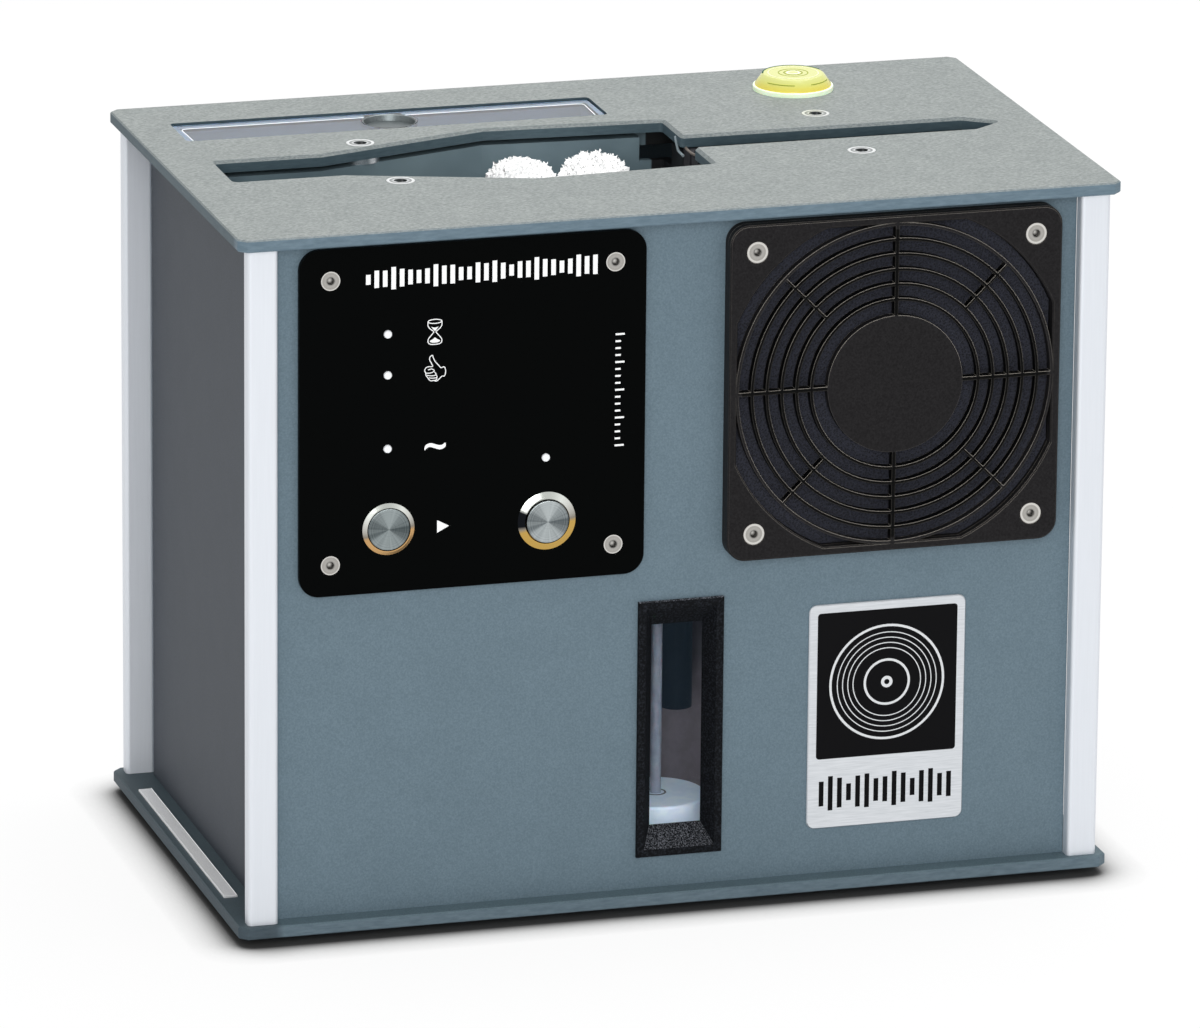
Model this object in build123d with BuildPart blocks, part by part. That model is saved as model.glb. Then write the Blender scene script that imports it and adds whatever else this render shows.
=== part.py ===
from build123d import *
import math
import os

# Record cleaning machine, in millimetres. +Z is up and -Y is the front.
# The origin is on the standing surface, under the middle of the base plate.

os.makedirs("parts", exist_ok=True)

# ---- Case: two plates held apart by four corner posts, with four panels between them ----
plate_w = 328.5
plate_d = 193.8
plate_t = 4.5
corner_clip = 3.0
edge_break = 0.5
fine_edge = 0.25
post_w = 11.2
post_d = 6.2
post_r = 1.5
post_inset_x = 3.6
post_inset_y = 2.5
panel_t = 4.5
front_setback = 5.3
side_setback = 9.6
block_w = 6.4
foot_d = 16.0
foot_h = 3.5
foot_edge = 0.7
foot_inset = 22.0
fit_gap = 0.1
run_gap = 0.05

# ---- Countersunk socket screws ----
small_head_d = 7.8
control_head_d = 7.0
small_shank_d = 4.0
small_length = 16.0
small_socket = 2.5
post_head_d = 5.6
post_shank_d = 3.0
post_socket = 2.0
large_head_d = 10.4
large_shank_d = 5.0
large_length = 11.0
large_socket = 4.5
head_gap = 0.15
sink_angle = 90
hole_room = 1.0

# ---- Record slot in the top plate ----
record_r = 151.0
record_y = -1.2
record_rise = 52.0
slot_left_margin = 19.25
slot_flare_x = -104.7
slot_wide_x = -38.3
slot_step_x = 29.3
slot_tip_margin = 15.75
slot_tip_l = 11.5
slot_left_half = 14.8
roller_side_gap = 9.0
slot_step_in = 3.8
slot_right_half = 8.2
slot_corner_r = 1.5
slot_chamfer = 1.1
top_screw_margin = 77.25
top_screw_gap = 7.4
spacer_d = 14.0
spacer_t = 2.0

# ---- Washing chamber under the slot ----
reveal = 1.0
flange_edge = 3.8
pillar_edge = 7.0
roller_floor_gap = 15.5
wiper_floor_gap = 8.2
chamber_wall = 3.0
flange_t = 5.0
gearbox_h = 27.5
pocket_x = 21.0
pocket_w = 15.0
pocket_depth = 8.8
pocket_reach = 9.0
pillar_d = 10.0
pillar_margin = 7.0

# ---- Cleaning rollers, driven by a ring of four equal gears ----
gear_d = 28.0
gear_teeth = 28
pinion_teeth = 14
gear_t = 8.0
gear_lift = 5.0
tooth_height = 2.2
tooth_tip_share = 0.24
tooth_root_share = 0.58
roller_x = -16.0
roller_top_drop = 10.7
roller_d = 26.4
core_d = 14.0
spindle_d = 5.0
sleeve_cap = 6.0
motor_d = 24.0
motor_l = 50.0
pinion_shaft_d = 4.0

# ---- Wheels that carry and turn the record ----
wheel_r = 9.0
wheel_t = 8.0
wheel_end_gap = 25.75
axle_d = 6.0
record_motor_l = 27.0
record_motor_flange = 26.0
record_motor_flange_t = 3.0
axle_in_motor = 12.0

# ---- Wiper blades ----
wiper_inset = 0.2
wiper_base_w = 8.0
wiper_base_t = 3.6
wiper_lip_t = 1.6
wiper_gap = 1.1
wiper_rise = 1.5

# ---- Control plate on the front ----
control_margin = 10.05
control_drop = 2.3
control_extra = 3.0
control_r = 7.5
control_t = 2.0
start_dx = -31.1
start_dz = -40.5
power_dx = 27.6
power_dz = -41.8
led_d = 3.0
led_proud = 0.8
led_round = 0.7
led_dx = -31.5
led_top_dz = 31.6
led_mid_dz = 16.5
led_low_dz = -10.7
led_power_dx = 27.1
led_power_dz = -18.2
bezel_lip = 0.8
bezel_land = 0.4
button_depth = 21.0
button_travel = 2.5
button_room = 1.0
cap_t = 3.0
stem_d = 8.0
stem_room = 2.0
bezel_floor = 2.0
cap_edge_r = 0.4
start_d = 19.2
start_rise = 0.8
start_cap_d = 15.5
start_cap_gap = 0.25
start_proud = 0.15
power_d = 21.5
power_rise = 1.0
power_cap_d = 15.7
power_cap_gap = 0.45
power_proud = 0.9
bezel_slope = 2.0
board_edge = 8.0
board_t = 1.6
chip_size = 18.0
chip_pitch = 38.0
chip_t = 4.0
header_w = 56.0
header_h = 10.0
header_rise = 38.0
standoff_d = 7.0
standoff_l = 10.0

# ---- Fan, its guard and its air duct ----
guard_margin = 9.05
guard_drop = 2.7
guard_window_gap = 14.2
fan_t = 25.0
fan_edge = 2.75
fan_bore_edge = 5.0
bolt_edge = 10.0
opening_edge = 3.0
opening_corner = 2.5
fan_corner_r = 5.0
fan_hole_d = 4.3
hub_d = 44.0
mount_d = 38.0
strut_w = 5.0
strut_t = 3.5
strut_root = 0.5
hub_gap = 1.0
blade_margin = 0.5
hub_pin_d = 4.0
blade_count = 7
blade_t = 1.6
blade_pitch_deg = 38.0
blade_depth = 17.0
tip_gap = 1.0
guard_w = 125.0
guard_r = 7.0
guard_frame_t = 3.2
grille_t = 3.3
collar_wall = 1.2
collar_bar = 2.0
collar_bar_t = 1.5
foam_t = 4.6
grille_hub_d = 51.0
ring_first_r = 31.5
ring_count = 6
ring_margin = 0.1
ring_t = 1.1
spoke_t = 1.4
rib_t = 0.9
duct_wall = 2.0
duct_shift = 1.5
duct_end_w = 40.0
duct_floor_gap = 2.5
duct_flange = 1.0

# ---- Water-level window ----
window_x = 1.7
window_sill = 12.0
window_w = 32.2
window_h = 96.8
window_rise = 1.5
window_rim = 2.8
window_lip_x = 6.5
window_lip_z = 10.4
pane_t = 3.0
pane_lap = 3.0
pane_room = 1.0

# ---- Water tank and what stands in it ----
tank_rear = 20.0
tank_margin = 26.55
float_lift = 9.5
tank_wall = 4.0
rod_d = 4.0
rod_x = 2.5
float_gap = 1.6
rod_collar_d = 8.0
rod_collar_t = 2.0
float_d = 37.0
float_t = 12.0
float_edge = 1.0
pump_x = -75.0
pump_y = -4.0
pump_size = 34.0
pump_h = 28.0
pump_r = 4.0
spigot_d = 9.0
spigot_h = 6.0
hose_d = 9.0
hose_bore = 6.0
hose_bend = 12.0
hose_level = 13.5
drain_x = 27.0
drain_body_d = 18.0
drain_pipe_d = 12.0
drain_reach = 75.0
drain_wall = 2.0
transducer_x = -56.0
transducer_d = 30.0
transducer_plate_t = 6.0
transducer_tail_d = 20.0
transducer_tail_l = 12.0

# ---- Clear lid, filter housing and spirit level ----
lid_side_gap = 0.75
lid_block_gap = 1.4
housing_gap = 3.0
lid_w = 159.4
lid_d = 26.4
lid_t = 2.5
lid_sink = 0.7
lid_gap = 0.25
lid_corner_r = 2.0
lid_ledge = 3.5
finger_hole_d = 20.5
housing_wall = 2.0
housing_h = 30.0
cartridge_end = 6.2
cartridge_d = 18.6
cartridge_gap = 0.3
spout_x = -20.0
spout_d = 10.0
spout_drop = 21.0
level_margin_x = 74.25
level_margin_y = 32.7
level_d = 30.0
level_rim_h = 1.6
level_shoulder_d = 28.6
level_top_d = 23.4
level_h = 6.3

# ---- Badge, ledge strip and power inlet ----
badge_margin = 41.15
badge_sill = 17.2
badge_w = 59.6
badge_h = 85.2
badge_t = 1.0
badge_r = 3.0
badge_edge = 0.35
strip_y = 2.9
strip_w = 5.1
strip_l = 128.5
strip_t = 0.8
strip_inset = 3.0
strip_edge = 0.2
inlet_margin = 46.55
inlet_z = 30.0
inlet_d = 11.0
inlet_flange_d = 15.0
inlet_flange_t = 1.5
inlet_l = 16.0
inlet_bore = 5.6
inlet_bore_l = 10.0
inlet_pin_d = 2.0

# ---- Sizes that follow from the ones above ----
case_h = window_sill + window_h + guard_window_gap + guard_w + guard_drop
base_top = foot_h + plate_t
roof = base_top + case_h
plate_top = roof + plate_t
post_x = plate_w / 2 - post_inset_x - post_w / 2
post_y = plate_d / 2 - post_inset_y - post_d / 2
front_face = plate_d / 2 - post_inset_y - front_setback
front_back = front_face - panel_t
side_face = plate_w / 2 - post_inset_x - side_setback
side_back = side_face - panel_t

slot_left_x = -(plate_w / 2 - slot_left_margin)
slot_tip_x = plate_w / 2 - slot_tip_margin
slot_taper_x = slot_tip_x - slot_tip_l
slot_wide_half = (gear_d + roller_d) / 2 + roller_side_gap
slot_step_half = slot_wide_half - slot_step_in
record_x = (slot_left_x + slot_tip_x) / 2
top_screw_x = plate_w / 2 - top_screw_margin
flare_share = (-top_screw_x - slot_flare_x) / (slot_wide_x - slot_flare_x)
top_screw_half = slot_left_half + flare_share * (slot_wide_half - slot_left_half) + top_screw_gap

window_z = base_top + window_sill + window_h / 2
window_inner_w = window_w - 2 * window_lip_x
window_inner_h = window_h - 2 * window_lip_z
pane_w = window_w - 2 * window_rim + 2 * pane_lap
pane_h = window_h - 2 * window_rim + 2 * pane_lap

deck_z = window_z + pane_h / 2 + pane_room
deck_top = deck_z + plate_t
chamber_z = deck_top + gearbox_h
chamber_floor = chamber_z + chamber_wall
rim_z = roof - spacer_t
chamber_end = side_back - fit_gap
flange_half = slot_wide_half + reveal + chamber_wall + flange_edge
pillar_half = flange_half - pillar_edge

gear_module = gear_d / gear_teeth
roller_pitch = gear_d
roller_top = plate_top - roller_top_drop
roller_h = roller_top - chamber_floor - roller_floor_gap
gear_z = deck_top + gear_lift
motor_offset = gear_module * (gear_teeth + pinion_teeth) / 2
wheel_dx = (slot_tip_x - slot_left_x) / 2 - wheel_end_gap
record_z = plate_top + record_rise
wheel_z = record_z - math.sqrt((record_r + wheel_r) ** 2 - wheel_dx ** 2)
wiper_h = rim_z + wiper_rise - chamber_floor - wiper_floor_gap

control_size = guard_w + control_extra
control_x = -(side_face - control_margin - control_size / 2)
control_z = roof - control_drop - control_size / 2
board_size = control_size - 2 * board_edge
start_x = control_x + start_dx
start_z = control_z + start_dz
power_x = control_x + power_dx
power_z = control_z + power_dz

fan_x = side_face - guard_margin - guard_w / 2
fan_z = roof - guard_drop - guard_w / 2
fan_w = guard_w - 2 * fan_edge
fan_bore_d = guard_w - 2 * fan_bore_edge
bolt_pitch = guard_w - 2 * bolt_edge
opening_flat = guard_w - 2 * opening_edge
opening_r = guard_w / 2 + opening_corner
ring_step = (opening_flat / 2 - ring_margin - ring_first_r) / (ring_count - 1)
duct_end_x = fan_x + duct_shift
duct_end_h = 2 * (fan_z - chamber_floor - duct_floor_gap)

tank_h = deck_z - base_top
tank_w = 2 * (side_back - tank_margin)
tank_front = -(front_back - pane_t)
tank_mid_y = (tank_front + tank_rear) / 2
tank_d = tank_rear - tank_front
tank_floor = base_top + tank_wall
rod_y = tank_front + tank_wall + float_gap + float_d / 2
float_z = tank_floor + float_lift

housing_inner_w = lid_w - 2 * lid_ledge
housing_inner_d = lid_d - 2 * lid_ledge
housing_bottom = roof - housing_h
cartridge_l = housing_inner_w - 2 * cartridge_end
lid_x = -(side_back - lid_side_gap - housing_wall - housing_inner_w / 2)
lid_y = record_y + flange_half + housing_gap + housing_wall + housing_inner_d / 2
block_d = front_back - lid_y - housing_inner_d / 2 - housing_wall - lid_block_gap
level_x = plate_w / 2 - level_margin_x
level_y = plate_d / 2 - level_margin_y
badge_x = side_face - badge_margin - badge_w / 2
badge_z = base_top + badge_sill + badge_h / 2
inlet_x = -(side_back - inlet_margin)

front = Plane.XZ.offset(front_face)
front_inside = Plane.XZ.offset(front_back)
rear = Plane.XZ.offset(-front_face)
roof_plane = Plane.XY.offset(roof)
top_plane = Plane.XY.offset(plate_top)
deck_plane = Plane.XY.offset(deck_top)
corners = [(-1, -1), (1, -1), (-1, 1), (1, 1)]
control_bolts = [(control_x + sx * bolt_pitch / 2, control_z + sz * bolt_pitch / 2) for sx, sz in corners]
fan_bolts = [(fan_x + sx * bolt_pitch / 2, fan_z + sz * bolt_pitch / 2) for sx, sz in corners]
top_bolts = [(sx * top_screw_x, record_y + sy * top_screw_half) for sx, sy in corners]
post_points = [(sx * post_x, sy * post_y) for sx, sy in corners]
led_offsets = [(led_dx, led_top_dz), (led_dx, led_mid_dz), (led_dx, led_low_dz), (led_power_dx, led_power_dz)]
led_points = [(control_x + dx, control_z + dz) for dx, dz in led_offsets]
buttons = [(start_x, start_z, start_d), (power_x, power_z, power_d)]


def save(builder, name):
    """Label a finished piece and write its STEP file."""
    builder.part.label = name
    export_step(builder.part, f"parts/{name}.step")


def countersunk_screw(head_d, shank_d, length, socket):
    """A 90 degree countersunk screw along -Z, with its flat head at z = 0."""
    head_h = (head_d - shank_d) / 2
    with BuildPart() as screw:
        with BuildSketch(Plane.XZ):
            with BuildLine():
                Polyline((0, 0), (head_d / 2, 0), (shank_d / 2, -head_h), (shank_d / 2, -length), (0, -length), close=True)
            make_face()
        revolve(axis=Axis.Z)
        with BuildSketch():
            RegularPolygon(socket / 2, 6, major_radius=False)
        extrude(amount=-head_h, mode=Mode.SUBTRACT)
    return screw.part


def slot_outline(grow=0.0):
    """The slot seen from above, symmetrical about the record, grown outwards on every side."""
    halves = [
        (slot_left_x, slot_left_half),
        (slot_flare_x, slot_left_half),
        (slot_wide_x, slot_wide_half),
        (slot_step_x, slot_step_half),
        (slot_step_x, slot_right_half),
        (slot_taper_x, slot_right_half),
    ]
    rear_side = [(x, record_y + half) for x, half in halves]
    front_side = [(x, record_y - half) for x, half in reversed(halves)]
    with BuildSketch() as outline:
        with BuildLine():
            Polyline(*rear_side, (slot_tip_x, record_y), *front_side, close=True)
        make_face()
        if grow > 0:
            offset(amount=grow, kind=Kind.INTERSECTION)
    return outline.sketch


def octagon(flat, radius):
    """A square with its corners rounded off by one large circle, as on a fan guard."""
    with BuildSketch() as shape:
        Rectangle(flat, flat)
        Circle(radius, mode=Mode.INTERSECT)
    return shape.sketch


def gear_outline(teeth, turned):
    """A spur gear's outline with straight-sided teeth and some backlash."""
    outer_r = gear_module * teeth / 2 + gear_module * 0.95
    root_r = outer_r - tooth_height * gear_module
    step = 2 * math.pi / teeth
    start = step / 2 if turned else 0.0
    points = []
    for tooth in range(teeth):
        middle = start + tooth * step
        for radius, share, side in (
            (root_r, tooth_root_share, -1),
            (outer_r, tooth_tip_share, -1),
            (outer_r, tooth_tip_share, 1),
            (root_r, tooth_root_share, 1),
        ):
            angle = middle + side * share * step / 2
            points.append((radius * math.cos(angle), radius * math.sin(angle)))
    with BuildSketch() as outline:
        with BuildLine():
            Polyline(*points, close=True)
        make_face()
    return outline.sketch


small_screw = countersunk_screw(small_head_d, small_shank_d, small_length, small_socket)
control_screw = countersunk_screw(control_head_d, small_shank_d, small_length, small_socket)
large_screw = countersunk_screw(large_head_d, large_shank_d, large_length, large_socket)
post_screw = countersunk_screw(post_head_d, post_shank_d, small_length, post_socket)
small_sink = small_head_d + 2 * head_gap
control_sink = control_head_d + 2 * head_gap
large_sink = large_head_d + 2 * head_gap
post_sink = post_head_d + 2 * head_gap


# ================= Case =================


def plate_blank(height):
    """A case plate with clipped corners and lightly broken edges, standing on the given height."""
    with BuildPart() as blank:
        with BuildSketch(Plane.XY.offset(height)):
            Rectangle(plate_w, plate_d)
        extrude(amount=plate_t)
        chamfer(blank.edges().filter_by(Axis.Z), corner_clip)
        chamfer(blank.edges().group_by(Axis.Z)[-1], edge_break)
        chamfer(blank.edges().group_by(Axis.Z)[0], edge_break)
    return blank.part


with BuildPart() as base_plate:
    add(plate_blank(foot_h))
    with Locations(*[Location((x, y, foot_h), (180, 0, 0)) for x, y in post_points]):
        CounterSinkHole(post_shank_d / 2 + head_gap, post_sink / 2, plate_t, sink_angle)
save(base_plate, "base_plate")

with BuildPart() as top_plate:
    add(plate_blank(roof))
    with BuildSketch(top_plane):
        add(slot_outline())
    extrude(amount=-plate_t, mode=Mode.SUBTRACT)
    slot_edges = top_plate.edges(Select.LAST)
    fillet(slot_edges.filter_by(Axis.Z), slot_corner_r)
    slot_rim = top_plate.faces().sort_by(Axis.Z)[-1].inner_wires()[0].edges()
    chamfer(slot_rim, slot_chamfer)
    with BuildSketch(top_plane):
        with Locations((lid_x, lid_y)):
            RectangleRounded(lid_w + 2 * lid_gap, lid_d + 2 * lid_gap, lid_corner_r)
    extrude(amount=-(lid_t + lid_sink), mode=Mode.SUBTRACT)
    with BuildSketch(top_plane):
        with Locations((lid_x, lid_y)):
            RectangleRounded(lid_w - 2 * lid_ledge, lid_d - 2 * lid_ledge, lid_corner_r)
    extrude(amount=-plate_t, mode=Mode.SUBTRACT)
    with Locations(*[(x, y, plate_top) for x, y in top_bolts]):
        CounterSinkHole(large_shank_d / 2 + head_gap, large_sink / 2, plate_t, sink_angle)
save(top_plate, "top_plate")

with BuildPart() as corner_posts:
    with BuildSketch(Plane.XY.offset(base_top)):
        with Locations(*post_points):
            RectangleRounded(post_w, post_d, post_r)
    extrude(amount=case_h)
    with Locations(*[Location((x, y, base_top), (180, 0, 0)) for x, y in post_points]):
        Hole(post_shank_d / 2 + run_gap, depth=small_length - plate_t + hole_room)
save(corner_posts, "corner_posts")

with BuildPart() as base_screws:
    with Locations(*[Location((x, y, foot_h), (180, 0, 0)) for x, y in post_points]):
        add(post_screw)
save(base_screws, "base_screws")

with BuildPart() as rubber_feet:
    with BuildSketch():
        with GridLocations(plate_w - 2 * foot_inset, plate_d - 2 * foot_inset, 2, 2):
            Circle(foot_d / 2)
    extrude(amount=foot_h)
    chamfer(rubber_feet.edges().group_by(Axis.Z)[0], foot_edge)
save(rubber_feet, "rubber_feet")

with BuildPart() as corner_blocks:
    with BuildSketch(Plane.XY.offset(base_top)):
        with GridLocations(2 * side_back - block_w, 2 * front_back - block_d, 2, 2):
            Rectangle(block_w, block_d)
    extrude(amount=case_h)
save(corner_blocks, "corner_blocks")

panel_w = 2 * (post_x - post_w / 2 - fit_gap)
panel_mid_z = base_top + case_h / 2

with BuildPart() as front_panel:
    with BuildSketch(front):
        with Locations((0, panel_mid_z)):
            Rectangle(panel_w, case_h)
        with Locations(*control_bolts, *fan_bolts):
            Circle(small_shank_d / 2 + head_gap, mode=Mode.SUBTRACT)
        with Locations(*led_points):
            Circle(led_d / 2 + fit_gap, mode=Mode.SUBTRACT)
        for x, z, outer_d in buttons:
            with Locations((x, z)):
                Circle(outer_d / 2 - bezel_lip, mode=Mode.SUBTRACT)
        with Locations((fan_x, fan_z)):
            add(octagon(opening_flat + 2 * collar_wall, opening_r + collar_wall), mode=Mode.SUBTRACT)
        with Locations((window_x, window_z)):
            Rectangle(window_w - 2 * window_rim, window_h - 2 * window_rim, mode=Mode.SUBTRACT)
    extrude(amount=-panel_t)
save(front_panel, "front_panel")

with BuildPart() as rear_panel:
    with BuildSketch(rear):
        with Locations((0, panel_mid_z)):
            Rectangle(panel_w, case_h)
        with Locations((inlet_x, inlet_z)):
            Circle(inlet_d / 2 + fit_gap, mode=Mode.SUBTRACT)
    extrude(amount=panel_t)
save(rear_panel, "rear_panel")

side_len = 2 * (front_back - fit_gap)
for side, name in ((-1, "side_panel_left"), (1, "side_panel_right")):
    with BuildPart() as side_panel:
        with BuildSketch(Plane.XY.offset(base_top)):
            with Locations((side * (side_face - panel_t / 2), 0)):
                Rectangle(panel_t, side_len)
        extrude(amount=case_h)
    save(side_panel, name)


# ================= Chamber, deck and what carries the top plate =================

with BuildPart() as wash_chamber:
    with BuildSketch(Plane.XY.offset(chamber_z)):
        add(slot_outline(reveal + chamber_wall))
        Rectangle(2 * chamber_end, 2 * flange_half, mode=Mode.INTERSECT)
    extrude(amount=rim_z - chamber_z)
    with BuildSketch(Plane.XY.offset(rim_z)):
        with Locations((0, record_y)):
            Rectangle(2 * chamber_end, 2 * flange_half)
    extrude(amount=-flange_t)
    with BuildSketch(Plane.XY.offset(chamber_floor)):
        add(slot_outline(reveal))
        Rectangle(2 * (chamber_end - chamber_wall), 2 * flange_half, mode=Mode.INTERSECT)
    extrude(amount=rim_z - chamber_floor, mode=Mode.SUBTRACT)
    with BuildSketch(Plane.XY.offset(rim_z)):
        with Locations((pocket_x + pocket_w / 2, record_y + slot_step_half)):
            Rectangle(pocket_w, 2 * pocket_reach)
    extrude(amount=-pocket_depth, mode=Mode.SUBTRACT)
    with Locations(*[(x, y, rim_z) for x, y in top_bolts]):
        Hole(large_shank_d / 2 + run_gap, depth=flange_t)
    with Locations((roller_x, record_y, chamber_floor)):
        with GridLocations(roller_pitch, roller_pitch, 2, 2):
            Hole(spindle_d / 2 + run_gap, depth=chamber_wall)
    with Locations((drain_x, record_y, chamber_floor)):
        Hole(drain_pipe_d / 2 - drain_wall, depth=chamber_wall)
    with BuildSketch(Plane.XZ.offset(-record_y)):
        with Locations((record_x - wheel_dx, wheel_z), (record_x + wheel_dx, wheel_z)):
            Circle(axle_d / 2 + run_gap)
    extrude(amount=flange_half, both=True, mode=Mode.SUBTRACT)
    with BuildSketch(Plane.XZ.offset(-record_y)):
        with Locations((duct_end_x, fan_z)):
            Rectangle(duct_end_w - 2 * duct_wall, duct_end_h - 2 * duct_wall)
    extrude(amount=slot_right_half + reveal + chamber_wall, mode=Mode.SUBTRACT)
    with BuildSketch(Plane.XZ.offset(-record_y)):
        with Locations((spout_x, roof - spout_drop)):
            Circle(spout_d / 2 + fit_gap)
    extrude(amount=-flange_half, mode=Mode.SUBTRACT)
save(wash_chamber, "wash_chamber")

with BuildPart() as deck_plate:
    with BuildSketch(deck_plane):
        Rectangle(2 * chamber_end, 2 * (front_back - fit_gap))
        with GridLocations(2 * side_back - block_w, 2 * front_back - block_d, 2, 2):
            Rectangle(block_w + 2 * fit_gap, block_d + 2 * fit_gap, mode=Mode.SUBTRACT)
        with Locations((roller_x, record_y)):
            with GridLocations(roller_pitch, roller_pitch, 2, 2):
                Circle(spindle_d / 2 + run_gap, mode=Mode.SUBTRACT)
        with Locations((roller_x - roller_pitch / 2, record_y + roller_pitch / 2 + motor_offset)):
            Circle(pinion_shaft_d / 2 + fit_gap, mode=Mode.SUBTRACT)
        with Locations((pump_x, pump_y)):
            Circle(hose_d / 2 + fit_gap, mode=Mode.SUBTRACT)
        with Locations((drain_x, record_y)):
            Circle(drain_pipe_d / 2 + fit_gap, mode=Mode.SUBTRACT)
    extrude(amount=-plate_t)
save(deck_plate, "deck_plate")

with BuildPart() as chamber_pillars:
    with BuildSketch(deck_plane):
        with Locations((0, record_y)):
            with GridLocations(2 * (chamber_end - pillar_margin), 2 * pillar_half, 2, 2):
                Circle(pillar_d / 2)
    extrude(amount=rim_z - flange_t - deck_top)
save(chamber_pillars, "chamber_pillars")

with BuildPart() as top_spacers:
    with BuildSketch(Plane.XY.offset(rim_z)):
        with Locations(*top_bolts):
            Circle(spacer_d / 2)
            Circle(large_shank_d / 2 + head_gap, mode=Mode.SUBTRACT)
    extrude(amount=spacer_t)
save(top_spacers, "top_spacers")

with BuildPart() as top_screws:
    with Locations(*[(x, y, plate_top) for x, y in top_bolts]):
        add(large_screw)
save(top_screws, "top_screws")


# ================= Cleaning rollers and their drive =================

roller_names = {(-1, -1): "front_left", (1, -1): "front_right", (-1, 1): "rear_left", (1, 1): "rear_right"}
for (side_x, side_y), name in roller_names.items():
    x = roller_x + side_x * roller_pitch / 2
    y = record_y + side_y * roller_pitch / 2
    sleeve_base = Plane((x, y, roller_top - roller_h))
    with BuildPart() as sleeve:
        with BuildSketch(sleeve_base):
            Circle(roller_d / 2)
        extrude(amount=roller_h)
        with BuildSketch(sleeve_base):
            Circle(core_d / 2 + fit_gap)
        extrude(amount=roller_h - sleeve_cap, mode=Mode.SUBTRACT)
    save(sleeve, f"roller_sleeve_{name}")
    with BuildPart() as spindle:
        with BuildSketch(Plane((x, y, deck_z + plate_t / 2))):
            Circle(spindle_d / 2)
        extrude(amount=roller_top - sleeve_cap - deck_z - plate_t / 2)
        with BuildSketch(sleeve_base):
            Circle(core_d / 2)
        extrude(amount=roller_h - sleeve_cap)
        with BuildSketch(Plane((x, y, gear_z))):
            add(gear_outline(gear_teeth, side_x != side_y))
        extrude(amount=gear_t)
    save(spindle, f"roller_spindle_{name}")

pinion_point = (roller_x - roller_pitch / 2, record_y + roller_pitch / 2 + motor_offset)
with BuildPart() as motor_pinion:
    with BuildSketch(Plane((*pinion_point, gear_z))):
        add(gear_outline(pinion_teeth, True))
    extrude(amount=gear_t)
    with BuildSketch(Plane((*pinion_point, gear_z))):
        Circle(pinion_shaft_d / 2)
    extrude(amount=-(gear_z - deck_z + plate_t))
save(motor_pinion, "motor_pinion")

with BuildPart() as roller_motor:
    with BuildSketch(Plane((*pinion_point, deck_z))):
        Circle(motor_d / 2)
    extrude(amount=-motor_l)
    with Locations((*pinion_point, deck_z)):
        Hole(pinion_shaft_d / 2 + run_gap, depth=plate_t + hole_room)
save(roller_motor, "roller_motor")

wheel_left = Plane.XZ.offset(-record_y)
narrow_wall = slot_left_half + reveal + chamber_wall
idler_wall = slot_right_half + reveal + chamber_wall

with BuildPart() as drive_wheel:
    with BuildSketch(wheel_left):
        with Locations((record_x - wheel_dx, wheel_z)):
            Circle(wheel_r)
    extrude(amount=wheel_t / 2, both=True)
    with BuildSketch(wheel_left.offset(narrow_wall)):
        with Locations((record_x - wheel_dx, wheel_z)):
            Circle(axle_d / 2)
    extrude(amount=-(2 * narrow_wall + axle_in_motor))
save(drive_wheel, "drive_wheel")

with BuildPart() as record_motor:
    with BuildSketch(wheel_left.offset(-narrow_wall)):
        with Locations((record_x - wheel_dx, wheel_z)):
            Rectangle(record_motor_flange, record_motor_flange)
    extrude(amount=-record_motor_flange_t)
    with BuildSketch(wheel_left.offset(-narrow_wall)):
        with Locations((record_x - wheel_dx, wheel_z)):
            Circle(motor_d / 2)
    extrude(amount=-record_motor_l)
    with BuildSketch(wheel_left.offset(-narrow_wall)):
        with Locations((record_x - wheel_dx, wheel_z)):
            Circle(axle_d / 2 + run_gap)
    extrude(amount=-(axle_in_motor + hole_room), mode=Mode.SUBTRACT)
save(record_motor, "record_motor")

with BuildPart() as idler_wheel:
    with BuildSketch(wheel_left):
        with Locations((record_x + wheel_dx, wheel_z)):
            Circle(wheel_r)
    extrude(amount=wheel_t / 2, both=True)
    with BuildSketch(wheel_left):
        with Locations((record_x + wheel_dx, wheel_z)):
            Circle(axle_d / 2)
    extrude(amount=idler_wall, both=True)
save(idler_wheel, "idler_wheel")

wiper_reach = slot_right_half + reveal - fit_gap
wiper_left = slot_step_x + reveal + wiper_inset
with BuildPart() as wiper_blades:
    with BuildSketch(Plane.XY.offset(rim_z + wiper_rise)):
        for side in (-1, 1):
            with BuildLine():
                Polyline(
                    (wiper_left, record_y + side * wiper_reach),
                    (wiper_left + wiper_base_w, record_y + side * wiper_reach),
                    (wiper_left + wiper_base_w, record_y + side * (wiper_reach - wiper_base_t)),
                    (wiper_left + 2 * wiper_lip_t, record_y + side * (wiper_reach - wiper_base_t)),
                    (wiper_left + wiper_lip_t, record_y + side * wiper_gap),
                    (wiper_left, record_y + side * wiper_gap),
                    close=True,
                )
            make_face()
    extrude(amount=-wiper_h)
save(wiper_blades, "wiper_blades")


# ================= Control plate, lights and buttons =================

with BuildPart() as control_plate:
    with BuildSketch(front):
        with Locations((control_x, control_z)):
            RectangleRounded(control_size, control_size, control_r)
        with Locations(*led_points):
            Circle(led_d / 2 + fit_gap, mode=Mode.SUBTRACT)
        for x, z, outer_d in buttons:
            with Locations((x, z)):
                Circle(outer_d / 2 - bezel_lip, mode=Mode.SUBTRACT)
    extrude(amount=control_t)
    with Locations(*[front.offset(control_t) * Location((x, z, 0)) for x, z in control_bolts]):
        CounterSinkHole(small_shank_d / 2 + head_gap, control_sink / 2, control_t, sink_angle)
save(control_plate, "control_plate")

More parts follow.
